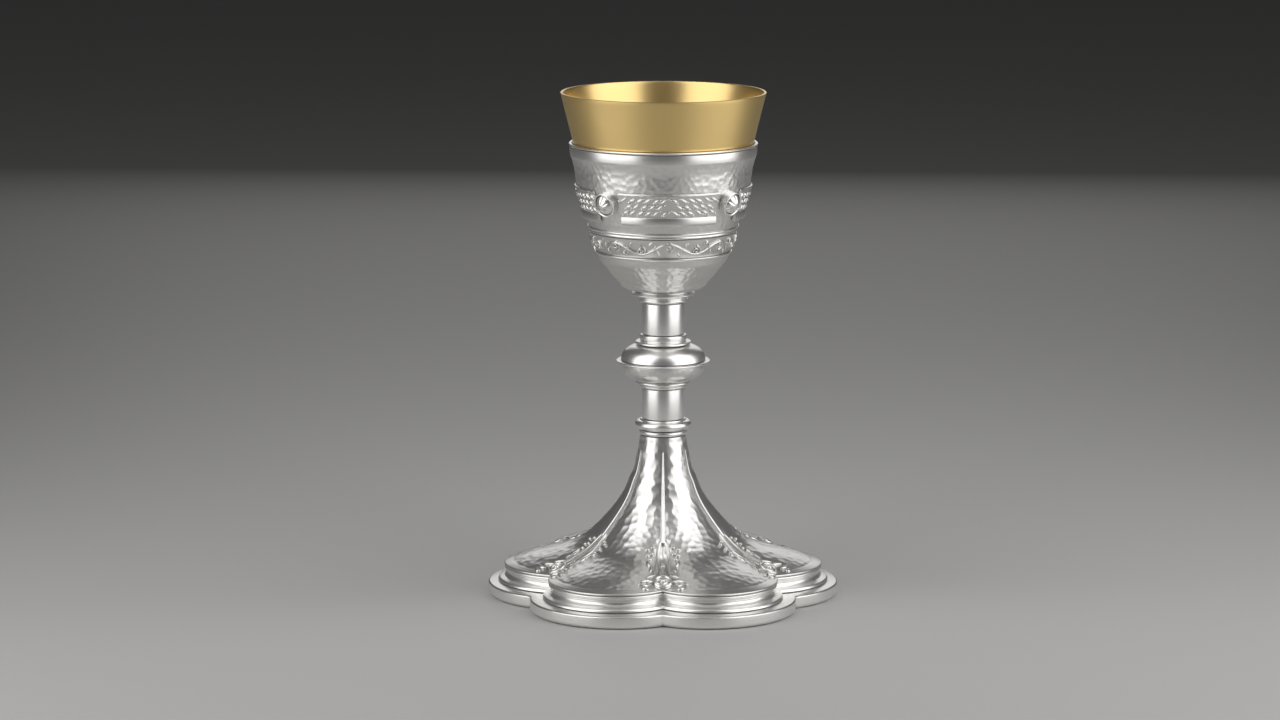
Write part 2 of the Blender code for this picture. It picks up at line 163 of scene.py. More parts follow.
class GeometryTree(NodeBuilder):
    """A Geometry Nodes tree with named inputs, baked to a plain mesh."""

    def __init__(self, name: str) -> None:
        """Start an empty tree with one geometry output."""
        super().__init__(bpy.data.node_groups.new(name, "GeometryNodeTree"))
        self.tree.interface.new_socket("Geometry", in_out="OUTPUT", socket_type="NodeSocketGeometry")
        self.inlet = self.tree.nodes.new("NodeGroupInput")
        self.outlet = self.tree.nodes.new("NodeGroupOutput")
        self.values: dict[str, object] = {}

    def input(self, name: str, kind: str, value: object = None) -> Socket:
        """Add a named input.

        Args:
            name: the input's name.
            kind: the socket type without its NodeSocket prefix.
            value: the value that the modifier gives it.

        Returns:
            The input as a Socket.
        """
        item = self.tree.interface.new_socket(name, in_out="INPUT", socket_type="NodeSocket" + kind)
        if value is not None:
            self.values[item.identifier] = value
        return Socket(self, self.inlet.outputs[name])

    def layer(self, name: str, kind: str = "FLOAT") -> Socket:
        """Read a named value, or vector, of each point."""
        return self.node("GeometryNodeInputNamedAttribute", {"data_type": kind}, {"Name": name})

    def bake(self, name: str, result: Socket, material: bpy.types.Material,
             base: bpy.types.Mesh | None = None) -> bpy.types.Object:
        """Realize the result, set its material, and turn it into a plain mesh object.

        Args:
            name: the new object's name.
            result: the geometry to keep.
            material: the material of every face.
            base: a mesh that the tree's own Geometry input reads.

        Returns:
            The object, at the origin, with no modifier.
        """
        real = self.node("GeometryNodeRealizeInstances", {}, {"Geometry": result})
        dressed = self.node("GeometryNodeSetMaterial", {}, {"Geometry": real, "Material": material})
        self.tree.links.new(dressed.link, self.outlet.inputs[0])
        obj = add_object(name, base or bpy.data.meshes.new(name))
        modifier = obj.modifiers.new("shape", "NODES")
        modifier.node_group = self.tree
        for identifier, value in self.values.items():
            modifier[identifier] = value
        bpy.context.view_layer.update()
        evaluated = obj.evaluated_get(bpy.context.evaluated_depsgraph_get())
        mesh = bpy.data.meshes.new_from_object(evaluated)
        obj.modifiers.clear()
        obj.data = mesh
        mesh.name = name
        mesh.materials.clear()
        mesh.materials.append(material)
        mesh.polygons.foreach_set("material_index", [0] * len(mesh.polygons))
        return obj


def add_object(name: str, data: bpy.types.ID) -> bpy.types.Object:
    """Add an object with its data to the scene."""
    obj = bpy.data.objects.new(name, data)
    bpy.context.scene.collection.objects.link(obj)
    return obj


def add_layer(mesh: bpy.types.Mesh, name: str, values: Sequence[float], kind: str = "FLOAT") -> None:
    """Give every point of a mesh a named value, or a vector as three values in a row."""
    layer = mesh.attributes.new(name, kind, "POINT")
    layer.data.foreach_set("vector" if kind == "FLOAT_VECTOR" else "value", values)


# ------------------------------------------------------------------ finishes

WEAR_ROUGHENS = 0.7
TARNISH_AND_SHADE_ROUGHENS = 0.09


class Slot(Enum):
    """The record's material slots."""

    GILT = "gilt"
    HAMMERED = "hammered_silver"
    POLISHED = "polished_silver"
    CHASED = "chased_silver"
    STEEL = "steel"
    BRASS = "brass"


@dataclass(frozen=True)
class MetalFinish:
    """A metal's colour and surface.

    Attributes:
        slot: the record's slot.
        color: the clean metal.
        tarnish_and_shade: the colour of the faint tarnish film, and of the painted shade in grooves and
            chased grounds.
        roughness: of the clean metal.
        film: how much of the faint film shows, from 0 to 1.
        turning: strength of the fine lines round the axis.
        scratch: strength of the fine scratches.
    """

    slot: Slot
    color: tuple[float, float, float]
    tarnish_and_shade: tuple[float, float, float]
    roughness: float
    film: float
    turning: float
    scratch: float

    def material(self) -> bpy.types.Material:
        """Build the material once, or return it."""
        known = bpy.data.materials.get(self.slot.value)
        if known:
            return known
        material = bpy.data.materials.new(self.slot.value)
        material.use_nodes = True
        shader = material.node_tree.nodes["Principled BSDF"]
        build = NodeBuilder(material.node_tree)
        shader.inputs["Metallic"].default_value = 1.0
        place = build.node("ShaderNodeTexCoord", out="Object")
        cloud = self._noise(build, place, (90.0, 90.0, 90.0), 3.0)
        smudge = self._noise(build, place, (260.0, 260.0, 190.0), 4.0)
        # Painted shade: a value stored on each point darkens the colour in grooves and sunk grounds towards
        # the darker colour, on top of the noise-made tarnish film.
        painted_shade = build.node("ShaderNodeAttribute", {"attribute_name": "painted_shade"}, out="Fac")
        film = self._ramp(build, cloud, 0.45, 0.75) * self.film
        film_and_painted_shade = build.node("ShaderNodeMath", {"operation": "MAXIMUM"}, {0: film, 1: painted_shade})
        color = build.node("ShaderNodeMix", {"data_type": "RGBA"},
                           {"Factor": film_and_painted_shade, 6: (*self.color, 1.0), 7: (*self.tarnish_and_shade, 1.0)}, out=2)
        wear = self._ramp(build, smudge, 0.35, 0.8)
        roughness = self.roughness + wear * (self.roughness * WEAR_ROUGHENS) + film_and_painted_shade * TARNISH_AND_SHADE_ROUGHENS
        lines = self._noise(build, place, (6.0, 6.0, 9000.0), 2.0)
        fine = self._noise(build, place, (5200.0, 700.0, 2600.0), 2.0)
        height = lines * self.turning + fine * self.scratch
        bump = build.node("ShaderNodeBump", {},
                          {"Strength": 0.25, "Distance": 0.02 * MM, "Height": height})
        for name, value in (("Base Color", color), ("Roughness", roughness), ("Normal", bump)):
            material.node_tree.links.new(value.link, shader.inputs[name])
        material.diffuse_color = (*self.color, 1.0)
        return material

    @staticmethod
    def _noise(build: NodeBuilder, place: Socket, scale: tuple[float, ...], detail: float) -> Socket:
        """Noise on stretched object coordinates."""
        spot = build.node("ShaderNodeMapping", {}, {"Vector": place, "Scale": scale})
        return build.node("ShaderNodeTexNoise", {}, {"Vector": spot, "Scale": 1.0, "Detail": detail})

    @staticmethod
    def _ramp(build: NodeBuilder, value: Socket, low: float, high: float) -> Socket:
        """Rise from 0 to 1 between two values."""
        return build.node("ShaderNodeMapRange", {}, {"Value": value, "From Min": low, "From Max": high})


POLISHED = MetalFinish(Slot.POLISHED, (0.93, 0.92, 0.90), (0.62, 0.57, 0.50), 0.032, 0.10, 0.4, 0.25)
HAMMERED = MetalFinish(Slot.HAMMERED, (0.90, 0.89, 0.87), (0.34, 0.31, 0.28), 0.045, 0.12, 0.0, 0.4)
CHASED = MetalFinish(Slot.CHASED, (0.90, 0.89, 0.86), (0.13, 0.115, 0.10), 0.07, 0.10, 0.0, 0.4)
GILT = MetalFinish(Slot.GILT, (0.93, 0.66, 0.27), (0.60, 0.34, 0.10), 0.034, 0.14, 0.4, 0.25)
STEEL = MetalFinish(Slot.STEEL, (0.52, 0.52, 0.53), (0.26, 0.24, 0.22), 0.30, 0.30, 1.0, 0.8)
BRASS = MetalFinish(Slot.BRASS, (0.72, 0.54, 0.26), (0.32, 0.21, 0.10), 0.26, 0.45, 1.0, 0.8)


# ------------------------------------------------------------------ lines and skins

def smooth_line(points: Sequence[tuple[float, ...]], count: int) -> np.ndarray:
    """Sample a smooth line through points, evenly by length.

    Args:
        points: the points it passes through, of any number of numbers each.
        count: how many samples to return.

    Returns:
        An array of count rows.
    """
    p = np.asarray(points, float)
    ends = np.vstack([2 * p[0] - p[1], p, 2 * p[-1] - p[-2]])
    t = np.linspace(0.0, 1.0, 24, endpoint=False)[:, None]
    spans = []
    for a, b, c, d in zip(ends, ends[1:], ends[2:], ends[3:]):
        square, cube = 2 * a - 5 * b + 4 * c - d, 3 * b - a - 3 * c + d
        spans.append(0.5 * (2 * b + (c - a) * t + square * t**2 + cube * t**3))
    dense = np.vstack(spans + [p[-1:]])
    return even(dense, count)


def even(dense: np.ndarray, count: int) -> np.ndarray:
    """Resample a polyline evenly by length."""
    steps = np.linalg.norm(np.diff(dense[:, :2], axis=0), axis=1)
    along = np.concatenate([[0.0], np.cumsum(steps)])
    wanted = np.linspace(0.0, along[-1], count)
    return np.stack([np.interp(wanted, along, dense[:, k]) for k in range(dense.shape[1])], axis=1)


def rounded(points: Sequence[tuple[float, float]], radius: float) -> Line:
    """Round the corners of a closed outline.

    Args:
        points: the outline's corners.
        radius: how far from a corner its round starts, at most a third of the shorter side.

    Returns:
        The outline with every corner replaced by a short curve.
    """
    made: Line = []
    for i, corner in enumerate(points):
        here = np.array(corner)
        to_before = np.array(points[i - 1]) - here
        to_after = np.array(points[(i + 1) % len(points)]) - here
        sides = np.linalg.norm(to_before), np.linalg.norm(to_after)
        reach = min(radius, sides[0] / 3, sides[1] / 3)
        start = here + to_before / sides[0] * reach
        end = here + to_after / sides[1] * reach
        for k in range(ROUND_STEPS + 1):
            t = k / ROUND_STEPS
            point = (1 - t) ** 2 * start + 2 * t * (1 - t) * here + t**2 * end
            made.append((float(point[0]), float(point[1])))
    return made


def offset_line(line: np.ndarray, distance: float) -> np.ndarray:
    """Move a line of (radius, height) that runs down the outside inwards by a distance."""
    along = np.gradient(line, axis=0)
    along /= np.linalg.norm(along, axis=1, keepdims=True)
    return np.stack([line[:, 0] + along[:, 1] * distance, line[:, 1] - along[:, 0] * distance], axis=1)


def skin(name: str, grid: np.ndarray, finish: MetalFinish, closed_rows: bool = False,
         painted_shade: np.ndarray | None = None) -> bpy.types.Object:
    """Make a mesh object from a grid of points in millimetres that closes round its columns.

    Args:
        name: the object's name.
        grid: rows x columns x 3. Rows run down the outside and columns run anticlockwise seen from above.
        finish: its metal.
        closed_rows: join the last row to the first.
        painted_shade: how much painted shade darkens each point, from 0 to 1.

    Returns:
        The object, with rows that meet the axis closed to one point.
    """
    rows, columns = grid.shape[:2]
    index = np.arange(rows * columns).reshape(rows, columns)
    low = np.roll(index, -1, axis=0) if closed_rows else index[1:]
    high = index if closed_rows else index[:-1]
    corners = [high, low, np.roll(low, -1, axis=1), np.roll(high, -1, axis=1)]
    faces = np.stack(corners, axis=-1).reshape(-1, 4)
    mesh = bpy.data.meshes.new(name)
    mesh.from_pydata((grid.reshape(-1, 3) * MM).tolist(), [], faces.tolist())
    # Painted shade: the darkening amounts go on the points as a named value that the materials read.
    if painted_shade is not None:
        add_layer(mesh, "painted_shade", painted_shade.reshape(-1).astype(np.float32))
    if not closed_rows:
        close_poles(mesh)
    return finish_object(name, mesh, finish)


def close_poles(mesh: bpy.types.Mesh) -> None:
    """Merge the points of a row that lies on the axis."""
    bm = bmesh.new()
    bm.from_mesh(mesh)
    on_axis = [v for v in bm.verts if math.hypot(v.co.x, v.co.y) < 1e-7]
    bmesh.ops.remove_doubles(bm, verts=on_axis, dist=1e-6)
    bm.to_mesh(mesh)
    bm.free()


def finish_object(name: str, mesh: bpy.types.Mesh, finish: MetalFinish) -> bpy.types.Object:
    """Wrap a mesh in an object with its material and smooth shading."""
    mesh.materials.append(finish.material())
    mesh.shade_smooth()
    mesh.set_sharp_from_angle(angle=CREASE)
    return add_object(name, mesh)


def around(count: int) -> np.ndarray:
    """Angles of even steps round the axis, anticlockwise from +X."""
    return np.linspace(0.0, TAU, count, endpoint=False)


def outward(angle: float) -> np.ndarray:
    """Level unit vector away from the axis, at an angle from the front."""
    return np.array([math.cos(angle + FRONT), math.sin(angle + FRONT), 0.0])


def turned_grid(line: np.ndarray, angles: np.ndarray) -> np.ndarray:
    """Grid of points of a turned line."""
    r, z = line[:, :1], np.repeat(line[:, 1:2], len(angles), axis=1)
    return np.stack([r * np.cos(angles), r * np.sin(angles), z], axis=-1)


def grid_normals(grid: np.ndarray) -> np.ndarray:
    """Outward unit normals of a grid that closes round its columns."""
    down = np.gradient(grid, axis=0)
    across = np.roll(grid, -1, axis=1) - np.roll(grid, 1, axis=1)
    normal = np.cross(down, across)
    return normal / np.maximum(np.linalg.norm(normal, axis=2, keepdims=True), 1e-9)


def place(piece: bpy.types.Object, body: str, finish: MetalFinish, *nodes: str) -> bpy.types.Object:
    """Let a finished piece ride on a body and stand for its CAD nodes."""
    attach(piece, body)
    if nodes:
        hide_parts(*nodes)
    log.info("%s: %d faces, on %s", piece.name, len(piece.data.polygons), body)
    return piece


# ------------------------------------------------------------------ hammering

@dataclass
class Hammer:
    """Round dents side by side, as a planishing hammer leaves them.

    Attributes:
        spacing: distance between strikes.
        depth: depth of a dent's middle.
        seed: of the strikes' scatter.
        uneven: how much strikes differ in depth, as a share.
    """

    spacing: float
    depth: float
    seed: int
    uneven: float = 0.35

    def strikes(self, grid: np.ndarray) -> np.ndarray:
        """Scatter strike points in staggered rings over a grid."""
        rng = np.random.default_rng(self.seed)
        middle = grid.mean(axis=1)
        radii = np.linalg.norm(grid[:, :, :2], axis=2).mean(axis=1)
        along = np.concatenate([[0.0], np.cumsum(np.hypot(np.diff(radii), np.diff(middle[:, 2])))])
        made = []
        rings = max(int(along[-1] / (self.spacing * 0.87)), 1)
        for k in range(rings + 1):
            row = np.interp(along[-1] * k / rings, along, np.arange(len(along)))
            count = max(int(TAU * np.interp(row, np.arange(len(radii)), radii) / self.spacing), 5)
            for j in range(count):
                jitter = rng.uniform(-0.38, 0.38, 2)
                column = ((j + 0.5 * (k % 2) + jitter[0]) / count % 1.0) * grid.shape[1]
                shifted = np.clip(row + jitter[1] * self.spacing * len(along) / along[-1], 0, len(grid) - 1)
                made.append(grid[int(shifted), int(column) % grid.shape[1]])
        return np.array(made)

    def dents(self, grid: np.ndarray) -> np.ndarray:
        """Depth of the dented surface under each point of a grid, as negative numbers."""
        points = self.strikes(grid)
        rng = np.random.default_rng(self.seed + 1)
        depths = self.depth * rng.uniform(1 - self.uneven, 1 + self.uneven, len(points))
        reach = self.spacing * rng.uniform(0.62, 0.80, len(points))
        tree = KDTree(len(points))
        for i, point in enumerate(points):
            tree.insert(point, i)
        tree.balance()
        made = np.zeros(grid.shape[0] * grid.shape[1])
        for k, point in enumerate(grid.reshape(-1, 3)):
            made[k] = min(depths[i] * ((d / reach[i]) ** 2 - 1.0) for _, i, d in tree.find_n(point, 4))
        return np.minimum(made, 0.0).reshape(grid.shape[:2])


def soft_step(value: np.ndarray, low: float, high: float) -> np.ndarray:
    """Rise smoothly from 0 at low to 1 at high."""
    t = np.clip((value - low) / (high - low), 0.0, 1.0)
    return t * t * (3 - 2 * t)


def ridge(value: np.ndarray, at: float, width: float) -> np.ndarray:
    """A rounded ridge of height 1 along one value."""
    return np.exp(-(((value - at) / width) ** 2))


# ------------------------------------------------------------------ foot

@dataclass
class LobedForm:
    """The six-lobed foot: its line over a rib and its line over the middle of a lobe, and what lies between.

    Attributes:
        lobes: how many.
        rib_line: (radius, height) down a rib's line.
        lobe_line: the same down a lobe's middle.
    """

    lobes: int = 6
    rib_line: Line = field(default_factory=lambda: [
        (9.4, 67.0), (10.6, 60.0), (12.0, 52.8), (13.7, 48.8), (16.1, 42.7), (19.8, 36.7),
        (26.1, 28.9), (32.4, 22.2), (37.2, 19.2), (45.5, 14.9), (53.3, 12.9)])
    lobe_line: Line = field(default_factory=lambda: [
        (9.5, 67.0), (10.8, 60.0), (12.3, 52.8), (14.1, 48.8), (16.7, 42.7), (20.7, 36.7),
        (27.6, 28.9), (35.0, 22.8), (41.6, 20.0), (55.5, 16.6), (66.0, 12.9)])

    def __post_init__(self) -> None:
        """Work out the circle of a lobe and sample both lines at matching places."""
        self.valley, self.reach = self.rib_line[-1][0], self.lobe_line[-1][0]
        half = math.pi / self.lobes
        self.centre = (self.reach**2 - self.valley**2) / (2 * (self.reach - self.valley * math.cos(half)))
        self.arc = self.reach - self.centre
        both = [(*a, *b) for a, b in zip(self.rib_line, self.lobe_line)]
        self.lines = smooth_line(both, 600)
        steps = np.linalg.norm(np.diff(self.lines[:, :2], axis=0), axis=1)
        self.along = np.concatenate([[0.0], np.cumsum(steps)])

    def fullness(self, angle: np.ndarray) -> np.ndarray:
        """0 on a rib's line, 1 in the middle of a lobe."""
        half = math.pi / self.lobes
        turned = (angle - FRONT) % (2 * half) - half
        r = self.centre * np.cos(turned) + np.sqrt(self.arc**2 - (self.centre * np.sin(turned)) ** 2)
        return (r - self.valley) / (self.reach - self.valley)

    def grid(self, rib: np.ndarray, lobe: np.ndarray, angles: np.ndarray) -> np.ndarray:
        """Grid whose section is rib on a rib's line and lobe in a lobe's middle."""
        w = self.fullness(angles)[None, :, None]
        line = rib[:, None, :] * (1 - w) + lobe[:, None, :] * w
        r, z = line[..., 0], line[..., 1]
        return np.stack([r * np.cos(angles), r * np.sin(angles), z], axis=-1)

    def point(self, along: float, angle: float, lift: float) -> np.ndarray:
        """Point on the foot.

        Args:
            along: distance down the rib's line from the neck.
            angle: angle from the front rib's line.
            lift: height above the surface.
        """
        base = self._bare(along, angle)
        down = self._bare(along + 0.3, angle) - self._bare(along - 0.3, angle)
        across = self._bare(along, angle + 0.01) - self._bare(along, angle - 0.01)
        normal = np.cross(down, across)
        return base + normal / np.linalg.norm(normal) * lift

    def _bare(self, along: float, angle: float) -> np.ndarray:
        """Point on the foot's surface."""
        row = min(max(along / self.along[-1], 0.0), 1.0) * (len(self.lines) - 1)
        k = min(int(row), len(self.lines) - 2)
        line = self.lines[k] + (self.lines[k + 1] - self.lines[k]) * (row - k)
        w = float(self.fullness(np.array(angle + FRONT)))
        r, z = line[:2] * (1 - w) + line[2:] * w
        return np.array([r * math.cos(angle + FRONT), r * math.sin(angle + FRONT), z])

    def along_at(self, radius: float) -> float:
        """Distance down the rib's line at a radius."""
        return float(np.interp(radius, self.lines[:, 0], self.along))


# ------------------------------------------------------------------ node-made shapes

@dataclass(frozen=True)
class Turning:
    """Turns an outline about the axis, round or on the six lobes, with Geometry Nodes.

    Attributes:
        facets: faces round the axis.
        form: the lobed foot, where the piece follows its lobes.
    """

    facets: int = 144
    form: LobedForm = field(default_factory=LobedForm)

    def tree(self, material: bpy.types.Material, name: str, outline: bpy.types.Mesh) -> bpy.types.Object:
        """Turn one outline, whose points hold (radius on a rib, radius on a lobe, height), and bake it."""
        geo = GeometryTree(name + "_turning")
        line = geo.input("Outline", "Geometry")
        facets = geo.input("Facets", "Int", self.facets)
        lobes = geo.input("Lobes", "Float", float(self.form.lobes))
        centre = geo.input("Lobe centre", "Float", self.form.centre * MM)
        arc = geo.input("Lobe radius", "Float", self.form.arc * MM)
        valley = geo.input("Valley radius", "Float", self.form.valley * MM)
        reach = geo.input("Lobe reach", "Float", self.form.reach * MM)
        rows = geo.node("GeometryNodeAttributeDomainSize", {"component": "MESH"}, {0: line},
                        out="Point Count")
        grid = geo.node("GeometryNodeMeshGrid", {}, {"Vertices X": rows, "Vertices Y": facets + 1})
        index = geo.node("GeometryNodeInputIndex")
        row = geo.node("ShaderNodeMath", {"operation": "FLOOR"}, {0: (index + 0.5) / (facets + 1)})
        turn = (index - row * (facets + 1)) * TAU / facets
        spot = geo.node("GeometryNodeInputPosition")
        sample = geo.node("GeometryNodeSampleIndex", {"data_type": "FLOAT_VECTOR", "domain": "POINT"},
                          {"Geometry": line, "Value": spot, "Index": row})
        on_rib, on_lobe, height = geo.parts(sample)
        half = math.pi / lobes
        local = geo.node("ShaderNodeMath", {"operation": "FLOORED_MODULO"}, {0: turn, 1: half * 2}) - half
        across = centre * local.sine()
        lobe_r = centre * local.cosine() + (arc * arc - across * across) ** 0.5
        full = (lobe_r - valley) / (reach - valley)
        radius = on_rib + (on_lobe - on_rib) * full
        angle = turn + FRONT
        where = geo.vector(radius * angle.cosine(), radius * angle.sine(), height)
        turned = geo.node("GeometryNodeSetPosition", {}, {"Geometry": grid, "Position": where})
        merged = geo.node("GeometryNodeMergeByDistance", {}, {"Geometry": turned, "Distance": 1e-6})
        return geo.bake(name, merged, material, outline)

    def make(self, name: str, rib: Line, finish: MetalFinish, lobe: Line | None = None,
             crease: float = CREASE) -> bpy.types.Object:
        """Turn a closed outline.

        Args:
            name: the object's name.
            rib: (radius, height), down the outside and back up the inside.
            finish: its metal.
            lobe: the same in the middle of a lobe, where the piece is lobed.
            crease: edges that bend by more than this stay crisp.
        """
        points = [(a[0] * MM, b[0] * MM, a[1] * MM) for a, b in zip(rib, lobe or rib)]
        points.append(points[0])
        mesh = bpy.data.meshes.new(name + "_outline")
        mesh.from_pydata(points, [(i, i + 1) for i in range(len(points) - 1)], [])
        obj = self.tree(finish.material(), name, mesh)
        obj.data.shade_smooth()
        obj.data.set_sharp_from_angle(angle=crease)
        return obj


@dataclass(frozen=True)
class Wire:
    """Sweeps round wires along paths with Geometry Nodes.

    Attributes:
        sides: faces round the wire.
    """

    sides: int = 12

    def make(self, name: str, paths: Sequence[np.ndarray], finish: MetalFinish) -> bpy.types.Object:
        """Sweep the paths.

        Args:
            name: the object's name.
            paths: arrays of (x, y, z, wire radius), in millimetres.
            finish: its metal.
        """
        points, edges, thick = [], [], []
        for path in paths:
            start = len(points)
            points += (path[:, :3] * MM).tolist()
            thick += (path[:, 3] * MM).tolist()
            edges += [(start + i, start + i + 1) for i in range(len(path) - 1)]
        mesh = bpy.data.meshes.new(name + "_paths")
        mesh.from_pydata(points, edges, [])
        add_layer(mesh, "thick", thick)
        geo = GeometryTree(name + "_wire")
        line = geo.input("Paths", "Geometry")
        sides = geo.input("Sides", "Int", self.sides)
        width = geo.layer("thick")
        curve = geo.node("GeometryNodeMeshToCurve", {}, {"Mesh": line})
        circle = geo.node("GeometryNodeCurvePrimitiveCircle", {"mode": "RADIUS"},
                          {"Resolution": sides, "Radius": 1.0})
        tube = geo.node("GeometryNodeCurveToMesh", {},
                        {"Curve": curve, "Profile Curve": circle, "Scale": width, "Fill Caps": True})
        obj = geo.bake(name, tube, finish.material(), mesh)
        obj.data.shade_smooth()
        return obj


@dataclass(frozen=True)
class Sprig:
    """Sets small domed leaves and beads on points with Geometry Nodes.

    Attributes:
        segments: faces round a leaf.
        rings: rings of a leaf.
        taper: how pointed a leaf is, 0 for a bead.
    """

    segments: int = 10
    rings: int = 6
    taper: float = 0.75

    def make(self, name: str, leaves: Sequence[tuple[float, ...]],
             finish: MetalFinish) -> bpy.types.Object:
        """Set the leaves on a flat sheet.

        Args:
            name: the object's name.
            leaves: for each leaf (x, y, height, turn, half length, half width, half thickness), in
                millimetres and radians, its length lying along x before the turn.
            finish: its metal.
        """
        mesh = bpy.data.meshes.new(name + "_points")
        mesh.from_pydata([(x * MM, y * MM, z * MM) for x, y, z, *_ in leaves], [], [])
        add_layer(mesh, "turn", [leaf[3] for leaf in leaves])
        add_layer(mesh, "size", [value * MM for leaf in leaves for value in leaf[4:7]], "FLOAT_VECTOR")
        geo = GeometryTree(name + "_sprig")
        points = geo.input("Points", "Geometry")
        segments = geo.input("Segments", "Int", self.segments)
        rings = geo.input("Rings", "Int", self.rings)
        taper = geo.input("Taper", "Float", self.taper)
        turn, size = geo.layer("turn"), geo.layer("size", "FLOAT_VECTOR")
        ball = geo.node("GeometryNodeMeshUVSphere", {},
                        {"Segments": segments, "Rings": rings, "Radius": 1.0})
        x, y, z = geo.parts(geo.node("GeometryNodeInputPosition"))
        narrow = 1.0 - taper * ((x + 1.0) * 0.5) ** 1.6
        thin = 1.0 - taper * 0.35 * (x + 1.0) * 0.5
        shape = geo.vector(x, y * narrow, z * thin)
        leaf = geo.node("GeometryNodeSetPosition", {}, {"Geometry": ball, "Position": shape})
        turned = geo.node("FunctionNodeEulerToRotation", {}, {"Euler": geo.vector(z=turn)})
        set_out = geo.node("GeometryNodeInstanceOnPoints", {},
                           {"Points": points, "Instance": leaf, "Rotation": turned, "Scale": size})
        obj = geo.bake(name, set_out, finish.material(), mesh)
        obj.data.shade_smooth()
        return obj


def drape(obj: bpy.types.Object, onto: Onto) -> bpy.types.Object:
    """Lay a flat piece, made on x and y with its height along z, onto a curved surface.

    Args:
        obj: the piece.
        onto: gives the place in millimetres of (x, y, height) in millimetres.
    """
    for vertex in obj.data.vertices:
        vertex.co = Vector(onto(*(vertex.co / MM))) * MM
    obj.data.update()
    return obj


def join(name: str, pieces: Sequence[bpy.types.Object]) -> bpy.types.Object:
    """Join pieces of one finish into one object."""
    bm = bmesh.new()
    for piece in pieces:
        bm.from_mesh(piece.data)
    mesh = bpy.data.meshes.new(name)
    bm.to_mesh(mesh)
    bm.free()
    mesh.materials.append(pieces[0].data.materials[0])
    for piece in pieces:
        bpy.data.objects.remove(piece, do_unlink=True)
    return add_object(name, mesh)


def stand(obj: bpy.types.Object, where: np.ndarray, normal: np.ndarray) -> bpy.types.Object:
    """Move a piece turned about Z so that it stands at a place, in millimetres, along a normal."""
    turn = Vector(normal).to_track_quat("Z", "Y").to_matrix().to_4x4()
    obj.data.transform(turn)
    obj.data.transform(Matrix.Translation(Vector(where) * MM))
    return obj


# ------------------------------------------------------------------ foot pieces

